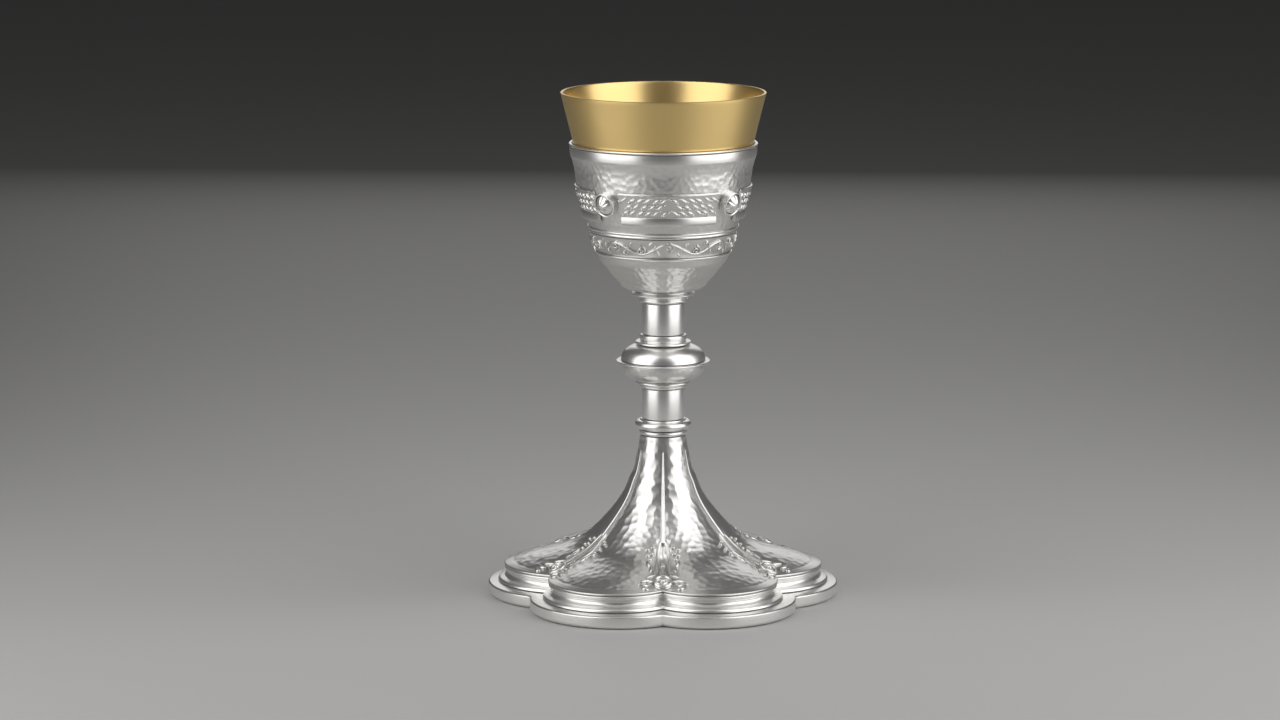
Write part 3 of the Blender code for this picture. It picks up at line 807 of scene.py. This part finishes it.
@dataclass
class Foot:
    """The foot: flange, hollow-moulded tier, hammered shell, ribs and the ornament in the cusps."""

    form: LobedForm = field(default_factory=LobedForm)
    columns: int = 630
    rows: int = 140
    wall: float = 1.2
    border: float = 3.4
    flange_valley: float = 63.3
    flange_reach: float = 73.0
    rosette_radius: float = 50.2
    rosette_height: float = 15.0
    rosette_lean: float = math.radians(26.0)
    hammer: Hammer = field(default_factory=lambda: Hammer(3.0, 0.15, 11))

    def build(self) -> None:
        """Make every piece of the foot."""
        place(self.flange(), "stand", POLISHED, "foot_flange")
        place(self.tier(), "stand", POLISHED, "foot_step_moulding")
        place(self.shell(), "stand", HAMMERED, "foot_shell")
        for i in range(self.form.lobes):
            turn = TAU * i / self.form.lobes
            place(self.rib(i + 1, turn), "stand", POLISHED, "foot_rib_%d" % (i + 1))
            place(self.spray(i + 1, turn), "stand", CHASED, "cusp_leaf_%d" % (i + 1))
            place(self.rosette(i + 1, turn), "stand", POLISHED, "cusp_rosette_%d" % (i + 1))

    def flange(self) -> bpy.types.Object:
        """The flat flange, with a soft outer edge."""
        def outline(edge: float, hole: float) -> Line:
            top = [(hole, 5.5), (edge - 3.2, 5.5), (edge - 0.6, 5.15), (edge, 4.7)]
            return rounded(top + [(edge, 1.0), (edge - 0.9, 0.0), (hole, 0.0)], 0.4)

        return Turning(288, self.form).make("flange", outline(self.flange_valley, 46.0), POLISHED,
                                            outline(self.flange_reach, 53.0))

    def tier(self) -> bpy.types.Object:
        """The tier with its hollow moulding and the small step at its foot."""
        def outline(edge: float) -> Line:
            bead = [(edge - 0.3, 11.8), (edge + 0.2, 11.4), (edge + 0.2, 10.8), (edge - 0.5, 10.3)]
            cove = [(edge - 1.1, 9.8), (edge - 1.2, 9.0), (edge - 0.8, 8.2), (edge + 0.2, 7.5),
                    (edge + 1.4, 7.2)]
            step = [(edge + 2.4, 6.9), (edge + 2.8, 6.4), (edge + 3.0, 5.8)]
            return rounded(bead + cove + step + [(edge - 4.5, 5.8), (edge - 4.5, 11.8)], 0.35)

        return Turning(288, self.form).make("tier_moulding", outline(self.form.valley), POLISHED,
                                            outline(self.form.reach), math.radians(60.0))

    def shell(self) -> bpy.types.Object:
        """The hammered shell with its smooth border and rolled edge."""
        angles = around(self.columns) + FRONT
        lines = even(self.form.lines, self.rows)
        outer = self.form.grid(lines[:, :2], lines[:, 2:], angles)
        steps = np.linalg.norm(np.diff(outer, axis=0), axis=2)
        from_edge = np.vstack([np.cumsum(steps[::-1], axis=0)[::-1], np.zeros((1, self.columns))])
        from_neck = from_edge[0] - from_edge
        worked = soft_step(from_edge, self.border, self.border + 1.0) * soft_step(from_neck, 0.5, 2.0)
        groove = ridge(from_edge, self.border, 0.42) + 0.5 * ridge(from_edge, 1.9, 0.3)
        depth = self.hammer.dents(outer) * worked - 0.22 * groove
        outer += grid_normals(outer) * depth[..., None]
        # Painted shade: darkest in the border grooves, with a faint even darkening over the hammered zone
        # that fades out in the deepest dents.
        painted_shade = np.clip(groove * 0.5 + worked * np.clip(0.1 + depth * 0.6, 0.0, 0.1), 0.0, 1.0)
        rolled = ((0.25, -0.12), (0.38, -0.4), (0.25, -0.7), (-0.1, -0.85))
        rim = [self._rim_row(lines[-1], angles, out, up) for out, up in rolled]
        keep = np.linspace(len(lines) - 3, 0, 10).astype(int)
        inner_rib, inner_lobe = [offset_line(line, self.wall)[keep] for line in (lines[:, :2], lines[:, 2:])]
        inner = self.form.grid(inner_rib, inner_lobe, angles)
        inner[-1, :, 2] = outer[0, :, 2].mean()
        grid = np.concatenate([outer, np.array(rim), inner])
        pad = np.zeros((len(grid) - len(outer), self.columns))
        return skin("hammered_foot", grid, HAMMERED, closed_rows=True, painted_shade=np.concatenate([painted_shade, pad]))

    def _rim_row(self, edge: np.ndarray, angles: np.ndarray, out: float, up: float) -> np.ndarray:
        """One row of the rolled edge, set off from the outer line's end."""
        moved = edge + np.array([out, up, out, up])
        return self.form.grid(moved[None, :2], moved[None, 2:], angles)[0]

    def _on_foot(self, turn: float) -> Onto:
        """Map (across, distance down the rib, height) to the foot, for one rib."""
        def onto(x: float, y: float, z: float) -> np.ndarray:
            radius = float(np.interp(y, self.form.along, self.form.lines[:, 0]))
            return self.form.point(y, turn + x / radius, z)

        return onto

    def rib(self, number: int, turn: float) -> bpy.types.Object:
        """A rib that thickens down the foot and forks round a narrow hollow above the rosette."""
        start, fork, end = [self.form.along_at(r) for r in (10.4, 28.4, 43.0)]
        onto = self._on_foot(turn)
        main = np.linspace(start, fork, 44)
        share = (main - start) / (fork - start)
        thick = 0.25 + 0.85 * share**0.8
        paths = [np.array([[*onto(0.0, y, t * 0.25), t] for y, t in zip(main, thick)])]
        for side in (-1.0, 1.0):
            run = np.linspace(fork - 1.5, end, 30)
            part = (run - run[0]) / (run[-1] - run[0])
            spread = side * (0.35 + 2.6 * part**0.38 * soft_step(part, -0.3, 0.12))
            width = 0.75 + 0.15 * np.sin(part * math.pi) - 0.25 * part
            paths.append(np.array([[*onto(x, y, w * 0.3), w] for x, y, w in zip(spread, run, width)]))
        return Wire().make("rib_wire_%d" % number, paths, POLISHED)

    def spray(self, number: int, turn: float) -> bpy.types.Object:
        """Leaves and berries on both sides of the rib's fork and round the rosette."""
        leaves = []
        for side in (-1.0, 1.0):
            for x, r, size in ((4.0, 29.6, 0.95), (6.1, 30.4, 0.95), (4.4, 31.9, 0.9), (6.0, 32.5, 0.9),
                               (5.0, 34.2, 0.85)):
                leaves.append((side * x, self.form.along_at(r), 0.25, 0.0, size, size, size * 0.85))
            for x, r, turned, long in ((5.6, 36.4, 105, 2.1), (4.6, 39.0, 80, 2.2), (1.0, 42.4, 80, 2.0),
                                       (4.6, 42.9, 40, 2.2), (6.4, 45.7, 15, 2.3), (7.3, 48.4, -15, 2.1),
                                       (6.6, 50.8, -45, 1.8), (4.6, 46.2, 20, 1.6)):
                lean = math.radians(turned)
                lean = lean if side > 0 else math.pi - lean
                leaves.append((side * x, self.form.along_at(r), 0.2, lean, long, 0.95, 0.75))
        leaves.append((0.0, self.form.along_at(36.2), 0.1, FRONT, 2.6, 0.95, 0.6))
        piece = Sprig(12, 8, 0.6).make("cusp_spray_%d" % number, leaves, CHASED)
        drape(piece, self._on_foot(turn))
        piece.data.flip_normals()
        return piece

    def rosette(self, number: int, turn: float) -> bpy.types.Object:
        """A round rosette: a coiled petal round a domed heart, leaning out over the cusp."""
        t = np.linspace(0.0, 1.0, 72)
        radius = 3.3 - 1.8 * soft_step(t, 0.62, 1.0)
        sweep = 1.6 * TAU * t + 2.2
        round_path = [radius * np.cos(sweep), radius * np.sin(sweep), 0.7 + 0.3 * t, 0.64 - 0.12 * t]
        coil = Wire().make("coil_%d" % number, [np.stack(round_path, axis=1)], POLISHED)
        heart, seat = (0.0, 0.0, 0.9, 0.0, 0.95, 0.95, 1.05), (0.0, 0.0, -0.6, 0.0, 3.75, 3.75, 1.5)
        dome = Sprig(28, 14, 0.0).make("heart_%d" % number, [heart, seat], POLISHED)
        where = outward(turn) * self.rosette_radius + UP * self.rosette_height
        normal = outward(turn) * math.sin(self.rosette_lean) + UP * math.cos(self.rosette_lean)
        return stand(join("rosette_%d" % number, [coil, dome]), where, normal)


# ------------------------------------------------------------------ stem

@dataclass
class Stem:
    """The turned stem: collars, tubes and the knop."""

    tube_radius: float = 8.9
    tube_wall: float = 1.0
    bore: float = 4.6
    turning: Turning = field(default_factory=lambda: Turning(144))
    hammer: Hammer = field(default_factory=lambda: Hammer(2.6, 0.10, 23))

    def build(self) -> None:
        """Make every piece of the stem."""
        ring = [(9.4, 69.2), (9.85, 68.9), (9.95, 68.3), (9.85, 67.7), (9.4, 67.3)]
        self._collar("neck_ring", "lower_collar_ring", ring)
        torus = [(9.3, 73.9), (9.6, 73.3), (10.5, 73.25), (11.35, 72.7), (11.8, 71.6), (11.5, 70.6),
                 (10.7, 69.9), (9.6, 69.5)]
        self._collar("neck_torus", "lower_collar_torus", torus)
        self._tube("lower_tube", "lower_stem_tube", 74.2, 86.8)
        bead = [(9.3, 90.1), (10.4, 90.1), (11.1, 89.7), (11.25, 89.2), (10.9, 88.7), (9.7, 88.5),
                (9.55, 88.3), (9.9, 87.9), (9.8, 87.4), (9.3, 87.1)]
        self._collar("knop_bead_ring", "knop_lower_ring", bead)
        place(self.knop_bowl(), "stand", HAMMERED, "knop_lower_shell")
        fillet = [(15.0, 98.6), (18.9, 98.6), (19.45, 98.35), (19.6, 98.1), (19.45, 97.85), (18.9, 97.7),
                  (15.0, 97.7)]
        piece = self.turning.make("knop_edge", rounded(fillet, 0.15), POLISHED)
        place(piece, "stand", POLISHED, "knop_fillet")
        dome = smooth_line([(8.4, 105.2), (10.4, 105.15), (13.4, 104.3), (15.9, 102.7), (17.2, 100.7),
                            (17.6, 98.9)], 30)
        inner = smooth_line([(16.5, 98.9), (16.2, 100.6), (15.0, 102.1), (12.9, 103.4), (10.2, 104.1),
                             (8.4, 104.2)], 12)
        piece = self.turning.make("knop_dome", [tuple(p) for p in np.vstack([dome, inner])], POLISHED)
        place(piece, "stand", POLISHED, "knop_upper_shell")
        collar = [(9.1, 109.4), (9.55, 109.2), (9.7, 108.8), (9.7, 107.3), (9.4, 106.9), (9.4, 106.7),
                  (11.0, 106.65), (11.55, 106.35), (11.7, 106.0), (11.5, 105.65), (11.0, 105.5)]
        self._collar("knop_top_collar", "knop_upper_collar", collar)
        self._tube("upper_tube", "upper_stem_tube", 109.7, 122.6)
        top = [(10.9, 128.0), (11.45, 127.85), (11.6, 127.45), (11.45, 127.05), (11.1, 126.9),
               (12.9, 126.8), (13.2, 126.4), (12.9, 126.0), (11.2, 125.7), (10.2, 125.2), (9.75, 124.7),
               (9.75, 124.5), (10.2, 124.15), (10.2, 123.6), (9.7, 123.25), (9.1, 122.9)]
        self._collar("cup_seat_collar", "upper_collar", top)

    def _collar(self, name: str, node: str, outside: Line) -> None:
        """A solid moulding with a bore for the tie rod."""
        closed = outside + [(self.bore, outside[-1][1]), (self.bore, outside[0][1])]
        piece = self.turning.make(name, rounded(closed, 0.35), POLISHED)
        place(piece, "stand", POLISHED, node)

    def _tube(self, name: str, node: str, low: float, high: float) -> None:
        """A plain tube."""
        r, inner = self.tube_radius, self.tube_radius - self.tube_wall
        corners = [(r, high), (r, low), (inner, low), (inner, high)]
        place(self.turning.make(name, rounded(corners, 0.25), POLISHED), "stand", POLISHED, node)

    def knop_bowl(self) -> bpy.types.Object:
        """The knop's lower half, lightly hammered."""
        angles = around(300) + FRONT
        line = smooth_line([(17.2, 97.4), (17.1, 95.6), (16.5, 93.6), (15.0, 91.8), (12.2, 90.4)], 48)
        outer = turned_grid(line, angles)
        rows = np.arange(len(line))[:, None] * np.ones((1, len(angles)))
        worked = soft_step(rows, 2, 6)
        depth = self.hammer.dents(outer) * worked
        outer += grid_normals(outer) * depth[..., None]
        inside = np.array([(8.4, 90.4), (8.4, 91.4), (11.8, 91.4), (14.1, 92.6), (15.4, 94.1), (16.0, 95.8),
                           (16.1, 97.4)])
        grid = np.concatenate([outer, turned_grid(inside, angles)])
        return skin("knop_bowl", grid, HAMMERED, closed_rows=True)


# ------------------------------------------------------------------ calyx and cup

PANEL_GROUND = 0.5


@dataclass
class Calyx:
    """The hammered calyx with its wires, ornament band, relief panels and bosses."""

    turn: float = math.radians(4.5)
    columns: int = 520
    rows: int = 150
    wall: float = 1.0
    line: Line = field(default_factory=lambda: [
        (38.6, 188.0), (38.6, 185.0), (37.0, 179.7), (35.6, 171.0), (33.2, 163.0), (30.4, 154.0),
        (28.1, 146.4), (26.4, 141.0), (24.2, 138.1), (21.9, 135.1), (19.0, 131.8), (17.3, 129.6),
        (14.4, 128.3)])
    hammer: Hammer = field(default_factory=lambda: Hammer(2.3, 0.12, 37))
    panel_half: float = math.radians(34.5)
    boss_stand_off: float = 2.0
    boss_height: float = 167.4
    panels: int = 4
    scrolls: int = 16
    wrap_radius: float = 34.2
    band_middle: float = 148.8

    def build(self) -> None:
        """Make every piece of the calyx."""
        turning = Turning(224)
        place(self.shell(), "cup", HAMMERED, "calyx")
        rim = [(37.72, 189.2), (38.6, 189.2), (39.0, 188.75), (38.6, 188.3), (37.72, 188.3)]
        mid = self._on_wall([(0.2, 155.1), (0.55, 155.0), (0.7, 154.6), (0.4, 154.1), (0.4, 153.9),
                             (0.7, 153.4), (0.55, 153.0), (0.2, 152.9)])
        low = self._on_wall([(0.35, 144.7), (0.9, 144.5), (1.0, 144.1), (0.8, 143.6), (0.35, 143.4)])
        for name, node, section, fillet in (("calyx_rim", "calyx_rim_wire", rim, 0.3),
                                            ("calyx_double_wire", "calyx_mid_wire", mid, 0.2),
                                            ("calyx_thin_wire", "calyx_lower_wire", low, 0.2)):
            wire = turning.make(name, rounded(section, fillet), POLISHED)
            place(wire, "cup", POLISHED, node)
        place(self.band(), "cup", CHASED, "calyx_ornament_band")
        for i in range(self.panels):
            middle = self.turn + TAU * i / self.panels
            place(self.panel(i + 1, middle), "cup", CHASED, "relief_panel_%d" % (i + 1))
            self.boss(i + 1, middle + TAU * 0.5 / self.panels)

    def radius(self, z: float) -> float:
        """Radius of the calyx's outside at a height."""
        line = np.array(self.line[::-1])
        return float(np.interp(z, line[:, 1], line[:, 0]))

    def _on_wall(self, section: Line) -> Line:
        """Turn (stand-off, height) into (radius, height)."""
        return [(self.radius(z) + off, z) for off, z in section]

    def shell(self) -> bpy.types.Object:
        """The hammered wall, smooth in its top band and behind the wires."""
        angles = around(self.columns) + FRONT
        top = np.array([(38.6, 188.0), (38.6, 187.2), (38.6, 186.0)])
        curve = smooth_line(self.line[1:], self.rows)
        line = np.vstack([top, curve])
        outer = turned_grid(line, angles)
        z = outer[..., 2]
        worked = soft_step(-z, -184.3, -183.4) * (1 - ridge(z, 154.0, 1.6)) * (1 - ridge(z, 144.0, 1.2))
        depth = self.hammer.dents(outer) * worked
        line_marks = 0.16 * ridge(z, 184.9, 0.35)
        outer += grid_normals(outer) * (depth - line_marks)[..., None]
        # Painted shade: dark in the scored line under the top band, with a faint even darkening over the
        # hammered zone that fades out in the deepest dents.
        painted_shade = np.clip(line_marks * 3 + worked * np.clip(0.1 + depth, 0.0, 0.1), 0.0, 1.0)
        inside = offset_line(line, self.wall)[[152, 120, 90, 60, 40, 20, 8, 2, 0]]
        inside[-1] = (37.6, 188.0)
        bottom = np.array([(9.0, 128.3), (4.6, 128.3), (4.6, 129.3), (9.0, 129.3)])
        grid = np.concatenate([outer, turned_grid(np.vstack([bottom, inside]), angles)])
        pad = np.zeros((len(grid) - len(outer), self.columns))
        return skin("hammered_calyx", grid, HAMMERED, closed_rows=True,
                    painted_shade=np.concatenate([painted_shade, pad]))

    def _wrap(self, middle: float) -> Onto:
        """Map (x along the wall, height, stand-off) to the calyx, x measured from the turned front."""
        def onto(x: float, y: float, z: float) -> np.ndarray:
            base = self.radius(y)
            angle = FRONT + middle + x / self.wrap_radius
            r = base + z
            return np.array([r * math.cos(angle), r * math.sin(angle), y - z * 0.28])

        return onto

    def panel(self, number: int, middle: float) -> bpy.types.Object:
        """A curved panel of laurel leaves that slant towards its middle, above a round fillet."""
        half = self.panel_half * self.wrap_radius
        wrap = self._wrap(middle)
        section = [(0.3, 159.1), (1.5, 159.1), (1.75, 159.35), (1.7, 160.1), (1.35, 161.4), (1.1, 162.2),
                   (0.8, 162.5), (PANEL_GROUND, 162.6), (PANEL_GROUND, 171.3), (0.75, 171.4), (0.95, 171.7),
                   (0.85, 172.0), (0.3, 172.2)]
        plate = self._strip("panel_plate_%d" % number, section, np.linspace(-half, half, 72), CHASED)
        leaves = []
        for side in (-1.0, 1.0):
            for row, height in enumerate((164.3, 166.9, 169.5)):
                for k in range(6):
                    shift = math.sin(2.3 * k + 1.7 * row + side)
                    x = side * (1.7 + 3.35 * k + 1.6 * (row % 2) + 0.3 * shift)
                    if abs(x) > half - 1.6:
                        continue
                    lean = math.radians(27 + 7 * shift)
                    lean = lean if side < 0 else math.pi - lean
                    long = 1.95 + 0.25 * shift
                    leaves.append((x, height, 0.55, lean, long, 0.85, 0.8))
                    curl = (x + side * long * 0.8, height - 0.75 + 0.2 * shift, 0.6)
                    leaves.append((*curl, 0.0, 0.72, 0.66, 0.75))
        relief = Sprig(10, 7, 0.55).make("laurel_%d" % number, leaves, CHASED)
        return drape(join("laurel_panel_%d" % number, [plate, relief]), wrap)

    @staticmethod
    def _strip(name: str, section: Line, across: np.ndarray, finish: MetalFinish) -> bpy.types.Object:
        """A straight strip of a section of (stand-off, height), its ends closed, its sunk ground darkened
        with painted shade.
        """
        bm = bmesh.new()
        layer = bm.verts.layers.float.new("painted_shade")
        rings = []
        for x in across:
            ring = []
            for off, height in section:
                vert = bm.verts.new((x * MM, height * MM, off * MM))
                # Painted shade: the sunk ground between the leaves is darkened almost to the dark colour.
                vert[layer] = 0.85 if off == PANEL_GROUND else 0.0
                ring.append(vert)
            rings.append(ring)
        for a, b in zip(rings, rings[1:]):
            for j in range(len(section)):
                k = (j + 1) % len(section)
                bm.faces.new((a[j], b[j], b[k], a[k]))
        bm.faces.new(rings[0])
        bm.faces.new(list(reversed(rings[-1])))
        bmesh.ops.recalc_face_normals(bm, faces=bm.faces)
        mesh = bpy.data.meshes.new(name)
        bm.to_mesh(mesh)
        bm.free()
        return finish_object(name, mesh, finish)

    def band(self) -> bpy.types.Object:
        """The ornament band: a running scroll with a curl and leaves in each bend."""
        ground = self._on_wall([(0.35, 152.6), (0.5, 152.5), (0.5, 145.1), (0.35, 145.0)])
        plate = Turning(224).make("band_plate", ground, CHASED)
        # Painted shade: the whole ground under the scroll and leaves is darkened a little.
        add_layer(plate.data, "painted_shade", [0.3] * len(plate.data.vertices))
        pitch = TAU / self.scrolls * self.wrap_radius
        wave = np.linspace(0, self.scrolls * pitch, self.scrolls * 14)
        height = self.band_middle + 2.1 * np.cos(wave / pitch * math.pi)
        lift, thick = np.full_like(wave, 0.7), np.full_like(wave, 0.5)
        paths, leaves = [np.stack([wave, height, lift, thick], axis=1)], []
        for k in range(self.scrolls):
            sign = 1.0 if k % 2 else -1.0
            t = np.linspace(0.0, 1.0, 22)
            curl_r = 2.5 * (1 - 0.78 * t)
            curl_a = sign * (math.pi / 2 - t * 4.6 * math.pi / 1.6)
            x = k * pitch + curl_r * np.cos(curl_a)
            y = self.band_middle - sign * 0.9 + curl_r * np.sin(curl_a) * 0.9
            paths.append(np.stack([x, y, np.full_like(x, 0.7), 0.46 - 0.14 * t], axis=1))
            leaves.append((x[-1], y[-1], 0.7, 0.0, 0.72, 0.72, 0.6))
            for dx, dy, lean in ((0.36, 2.3, 40), (0.5, 0.4, 75), (0.62, -1.6, 120)):
                spot = ((k + dx) * pitch, self.band_middle + sign * dy, 0.65)
                leaves.append((*spot, sign * math.radians(lean), 1.5, 0.7, 0.62))
        wires = Wire(8).make("band_scroll", paths, CHASED)
        foliage = Sprig(10, 6, 0.5).make("band_leaves", leaves, CHASED)
        relief = drape(join("band_relief", [wires, foliage]), self._wrap(self.turn))
        return join("scroll_band", [plate, relief])

    def boss(self, number: int, angle: float) -> None:
        """A domed boss in a ring with a beaded edge."""
        slope = math.atan2(2.4, 8.0)
        normal = outward(angle) * math.cos(slope) - UP * math.sin(slope)
        on_wall = outward(angle) * self.radius(self.boss_height) + UP * self.boss_height
        where = on_wall + normal * self.boss_stand_off
        dome = self._petalled_dome("boss_dome_%d" % number)
        place(stand(dome, where, normal), "cup", POLISHED, "boss_%d" % number)
        rim = [(4.4, -2.2), (4.4, 0.8), (4.6, 1.05), (4.85, 1.1), (5.1, 1.0), (5.28, 0.7), (5.2, 0.4),
               (4.95, 0.2), (4.95, -2.2)]
        collar = Turning(72).make("boss_ring_%d" % number, rounded(rim, 0.12), POLISHED)
        place(stand(collar, where, normal), "cup", POLISHED, "boss_bezel_%d" % number)

    @staticmethod
    def _petalled_dome(name: str) -> bpy.types.Object:
        """A dome with six shallow petals round its top."""
        angles = around(72)
        dome = smooth_line([(0.0, 2.75), (1.2, 2.58), (2.4, 2.05), (3.4, 1.2), (4.1, 0.1)], 20)
        grid = turned_grid(np.vstack([dome, [(4.1, -2.1), (0.0, -2.1)]]), angles)
        r = np.hypot(grid[..., 0], grid[..., 1])
        seam = np.exp(-((((angles / TAU * 6) % 1.0 - 0.5) / 0.14) ** 2))
        grid[..., 2] -= 0.35 * seam * soft_step(r, 0.8, 1.7) * (1 - soft_step(r, 3.5, 4.1))
        return skin(name, grid, POLISHED)


@dataclass
class Cup:
    """The gilt cup and the fixings that go through the stem."""

    wall: float = 0.9
    rod_radius: float = 4.0
    rod_low: float = 29.0
    rod_top: float = 131.9
    pitch: float = 1.25
    turning: Turning = field(default_factory=lambda: Turning(96))

    def build(self) -> None:
        """Make the cup, its disc, the rod, the washer, the nut and the seat disc."""
        place(self.bowl(), "cup", GILT, "cup_bowl")
        disc = rounded([(13.4, 131.6), (13.7, 129.6), (4.3, 129.6), (4.3, 131.6)], 0.2)
        place(self.turning.make("cup_disc", disc, BRASS), "cup", BRASS, "calyx_base_disc")
        place(self.rod(), "cup", STEEL, "tie_rod")
        seat = rounded([(14.6, 42.0), (15.1, 40.0), (4.5, 40.0), (4.5, 42.0)], 0.2)
        place(self.turning.make("seat_disc", seat, BRASS), "stand", BRASS, "foot_seat_disc")
        washer = rounded([(10.5, 39.7), (10.5, 38.1), (4.5, 38.1), (4.5, 39.7)], 0.25)
        place(self.turning.make("washer", washer, STEEL), "washer", STEEL, "tie_washer")
        place(self.nut(), "nut", BRASS, "tie_nut")

    def bowl(self) -> bpy.types.Object:
        """The cup, thin at the lip, with the faint waviness of a spun and burnished wall."""
        outside = smooth_line([(42.2, 209.4), (39.6, 199.0), (37.1, 188.8), (31.9, 167.6), (28.6, 154.0),
                               (26.7, 147.0), (24.2, 141.6), (20.2, 138.0), (15.0, 136.0), (8.0, 135.2),
                               (0.0, 135.1)], 90)
        inside = offset_line(outside, self.wall)[::-1]
        inside[0, 0] = 0.0
        lip = np.array([(41.42, 209.8), (41.55, 209.97), (41.75, 210.0), (42.05, 209.97), (42.26, 209.78)])
        angles = around(288) + FRONT
        grid = turned_grid(np.vstack([inside, lip, outside]), angles)
        z = grid[..., 2]
        waver = 0.022 * (np.sin(3 * angles + z * 0.11) + 0.6 * np.sin(5 * angles - z * 0.17 + 1.0))
        waver = waver * soft_step(z, 136.0, 150.0) * (1 - soft_step(z, 204.0, 209.0))
        scale = 1 + waver / np.maximum(np.hypot(grid[..., 0], grid[..., 1]), 1.0)
        grid[..., 0] *= scale
        grid[..., 1] *= scale
        return skin("gilt_cup", grid, GILT)

    def rod(self) -> bpy.types.Object:
        """The tie rod with its round head and a thread on its lower end."""
        head = [(0.0, 134.1), (6.6, 134.1), (6.95, 133.8), (6.95, 132.1), (6.7, self.rod_top),
                (self.rod_radius, self.rod_top)]
        thread_z = np.arange(self.rod_low + 18.0, self.rod_low, -self.pitch / 10)
        shank = [(self.rod_radius, z) for z in (self.rod_low + 19.0, *thread_z)]
        line = np.array(head + shank + [(3.1, self.rod_low), (0.0, self.rod_low)])
        angles = around(48)
        grid = turned_grid(line, angles)
        z = grid[..., 2]
        phase = (z / self.pitch - angles / TAU) % 1.0
        cut = 0.5 * np.abs(2 * phase - 1.0)
        on_thread = (z < self.rod_low + 18.5) & (z > self.rod_low + 0.05)
        taper = soft_step(z, self.rod_low - 0.2, self.rod_low + 1.0)
        r = np.hypot(grid[..., 0], grid[..., 1])
        wanted = np.where(on_thread, (self.rod_radius - cut) - 0.7 * (1 - taper), r)
        factor = np.where(r > 0.01, wanted / np.maximum(r, 0.01), 1.0)
        grid[..., 0] *= factor
        grid[..., 1] *= factor
        return skin("threaded_rod", grid, STEEL)

    def nut(self) -> bpy.types.Object:
        """The hexagonal nut with turned chamfers."""
        flat, corner = 6.5, 6.5 / math.cos(math.pi / 6)
        angles = around(120)
        hexagon = flat / np.cos((angles + math.pi / 6) % (math.pi / 3) - math.pi / 6)
        rows = [(flat - 0.3, 37.8), (flat, 37.75), (corner, 37.1), (corner, 32.0), (flat, 31.35),
                (flat - 0.3, 31.3), (4.5, 31.3), (4.1, 31.7), (4.1, 37.4), (4.5, 37.8)]
        grid = turned_grid(np.array(rows), angles)
        for k, (r, _) in enumerate(rows):
            capped = np.minimum(r, hexagon) / r
            grid[k, :, 0] *= capped
            grid[k, :, 1] *= capped
        obj = skin("hex_nut", grid, BRASS, closed_rows=True)
        obj.data.set_sharp_from_angle(angle=math.radians(25))
        return obj


# ------------------------------------------------------------------ studio

@dataclass(frozen=True)
class Softbox:
    """A soft area light that stands on the floor or hangs over it, its top tilted in by some degrees."""

    name: str
    azimuth: float
    distance: float
    width: float
    height: float
    bottom: float
    power: float
    tilt: float = 0.0

    def build(self) -> None:
        """Add the light, facing the stem, its azimuth in degrees to the right of the camera's side."""
        light = bpy.data.lights.new(self.name, "AREA")
        light.shape = "RECTANGLE"
        light.size, light.size_y = self.width, self.height
        light.energy = self.power
        obj = add_object(self.name, light)
        angle = math.radians(self.azimuth) + FRONT
        lean = math.radians(self.tilt)
        away = self.distance - math.sin(lean) * self.height / 2
        middle = self.bottom + math.cos(lean) * self.height / 2
        obj.location = (away * math.cos(angle), away * math.sin(angle), middle)
        aim = Vector((-math.cos(angle) * math.cos(lean), -math.sin(angle) * math.cos(lean), -math.sin(lean)))
        obj.rotation_euler = aim.to_track_quat("-Z", "Y").to_euler()
        obj.visible_camera = False


@dataclass(frozen=True)
class Studio:
    """The pale floor, the soft lights and the camera."""

    floor_radius: float = 4.0
    floor_tone: float = 0.52
    world_tone: float = 0.035
    camera_distance: float = 1.62
    camera_height: float = 0.383
    camera_pitch: float = 9.97
    camera_yaw: float = 0.34
    lens: float = 111.5

    def build(self) -> None:
        """Add everything round the chalice."""
        self._floor()
        self._world()
        for box in (Softbox("left_box", -59.0, 0.56, 0.58, 1.2, 0.006, 3.5, 12.0),
                    Softbox("right_box", 65.0, 0.56, 0.68, 1.2, 0.006, 4.2, 12.0),
                    Softbox("back_box", 178.0, 1.4, 1.0, 0.7, 0.25, 2.0)):
            box.build()
        self._camera()

    def _floor(self) -> None:
        """A plain round floor."""
        bm = bmesh.new()
        bmesh.ops.create_circle(bm, cap_ends=True, radius=self.floor_radius, segments=96)
        mesh = bpy.data.meshes.new("floor")
        bm.to_mesh(mesh)
        bm.free()
        floor = add_object("floor", mesh)
        floor.location.z = -0.0002
        material = bpy.data.materials.new("pale_floor")
        material.use_nodes = True
        shader = material.node_tree.nodes["Principled BSDF"]
        tone = self.floor_tone
        shader.inputs["Base Color"].default_value = (tone, tone * 0.99, tone * 0.97, 1.0)
        shader.inputs["Roughness"].default_value = 0.6
        mesh.materials.append(material)

    def _world(self) -> None:
        """An even, dim surround."""
        world = bpy.data.worlds.new("studio")
        world.use_nodes = True
        background = world.node_tree.nodes["Background"]
        background.inputs["Color"].default_value = (self.world_tone,) * 3 + (1.0,)
        bpy.context.scene.world = world

    def _camera(self) -> None:
        """The camera, a little above the cup, looking slightly down."""
        camera = bpy.data.cameras.new("camera")
        camera.lens = self.lens
        camera.sensor_width = 36.0
        camera.clip_end = 50.0
        obj = add_object("camera", camera)
        obj.location = (0.0, -self.camera_distance, self.camera_height)
        obj.rotation_euler = (math.radians(90.0 - self.camera_pitch), 0.0, math.radians(self.camera_yaw))
        bpy.context.scene.camera = obj


def write_size() -> None:
    """Update the view layer."""
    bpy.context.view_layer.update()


def main() -> None:
    """Build the chalice and its studio."""
    logging.basicConfig(level=logging.INFO, format="%(name)s: %(message)s")
    bpy.context.scene.view_settings.view_transform = "Standard"
    for part in (Foot(), Stem(), Calyx(), Cup(), Studio()):
        part.build()
    write_size()


if __name__ == "__main__":
    main()
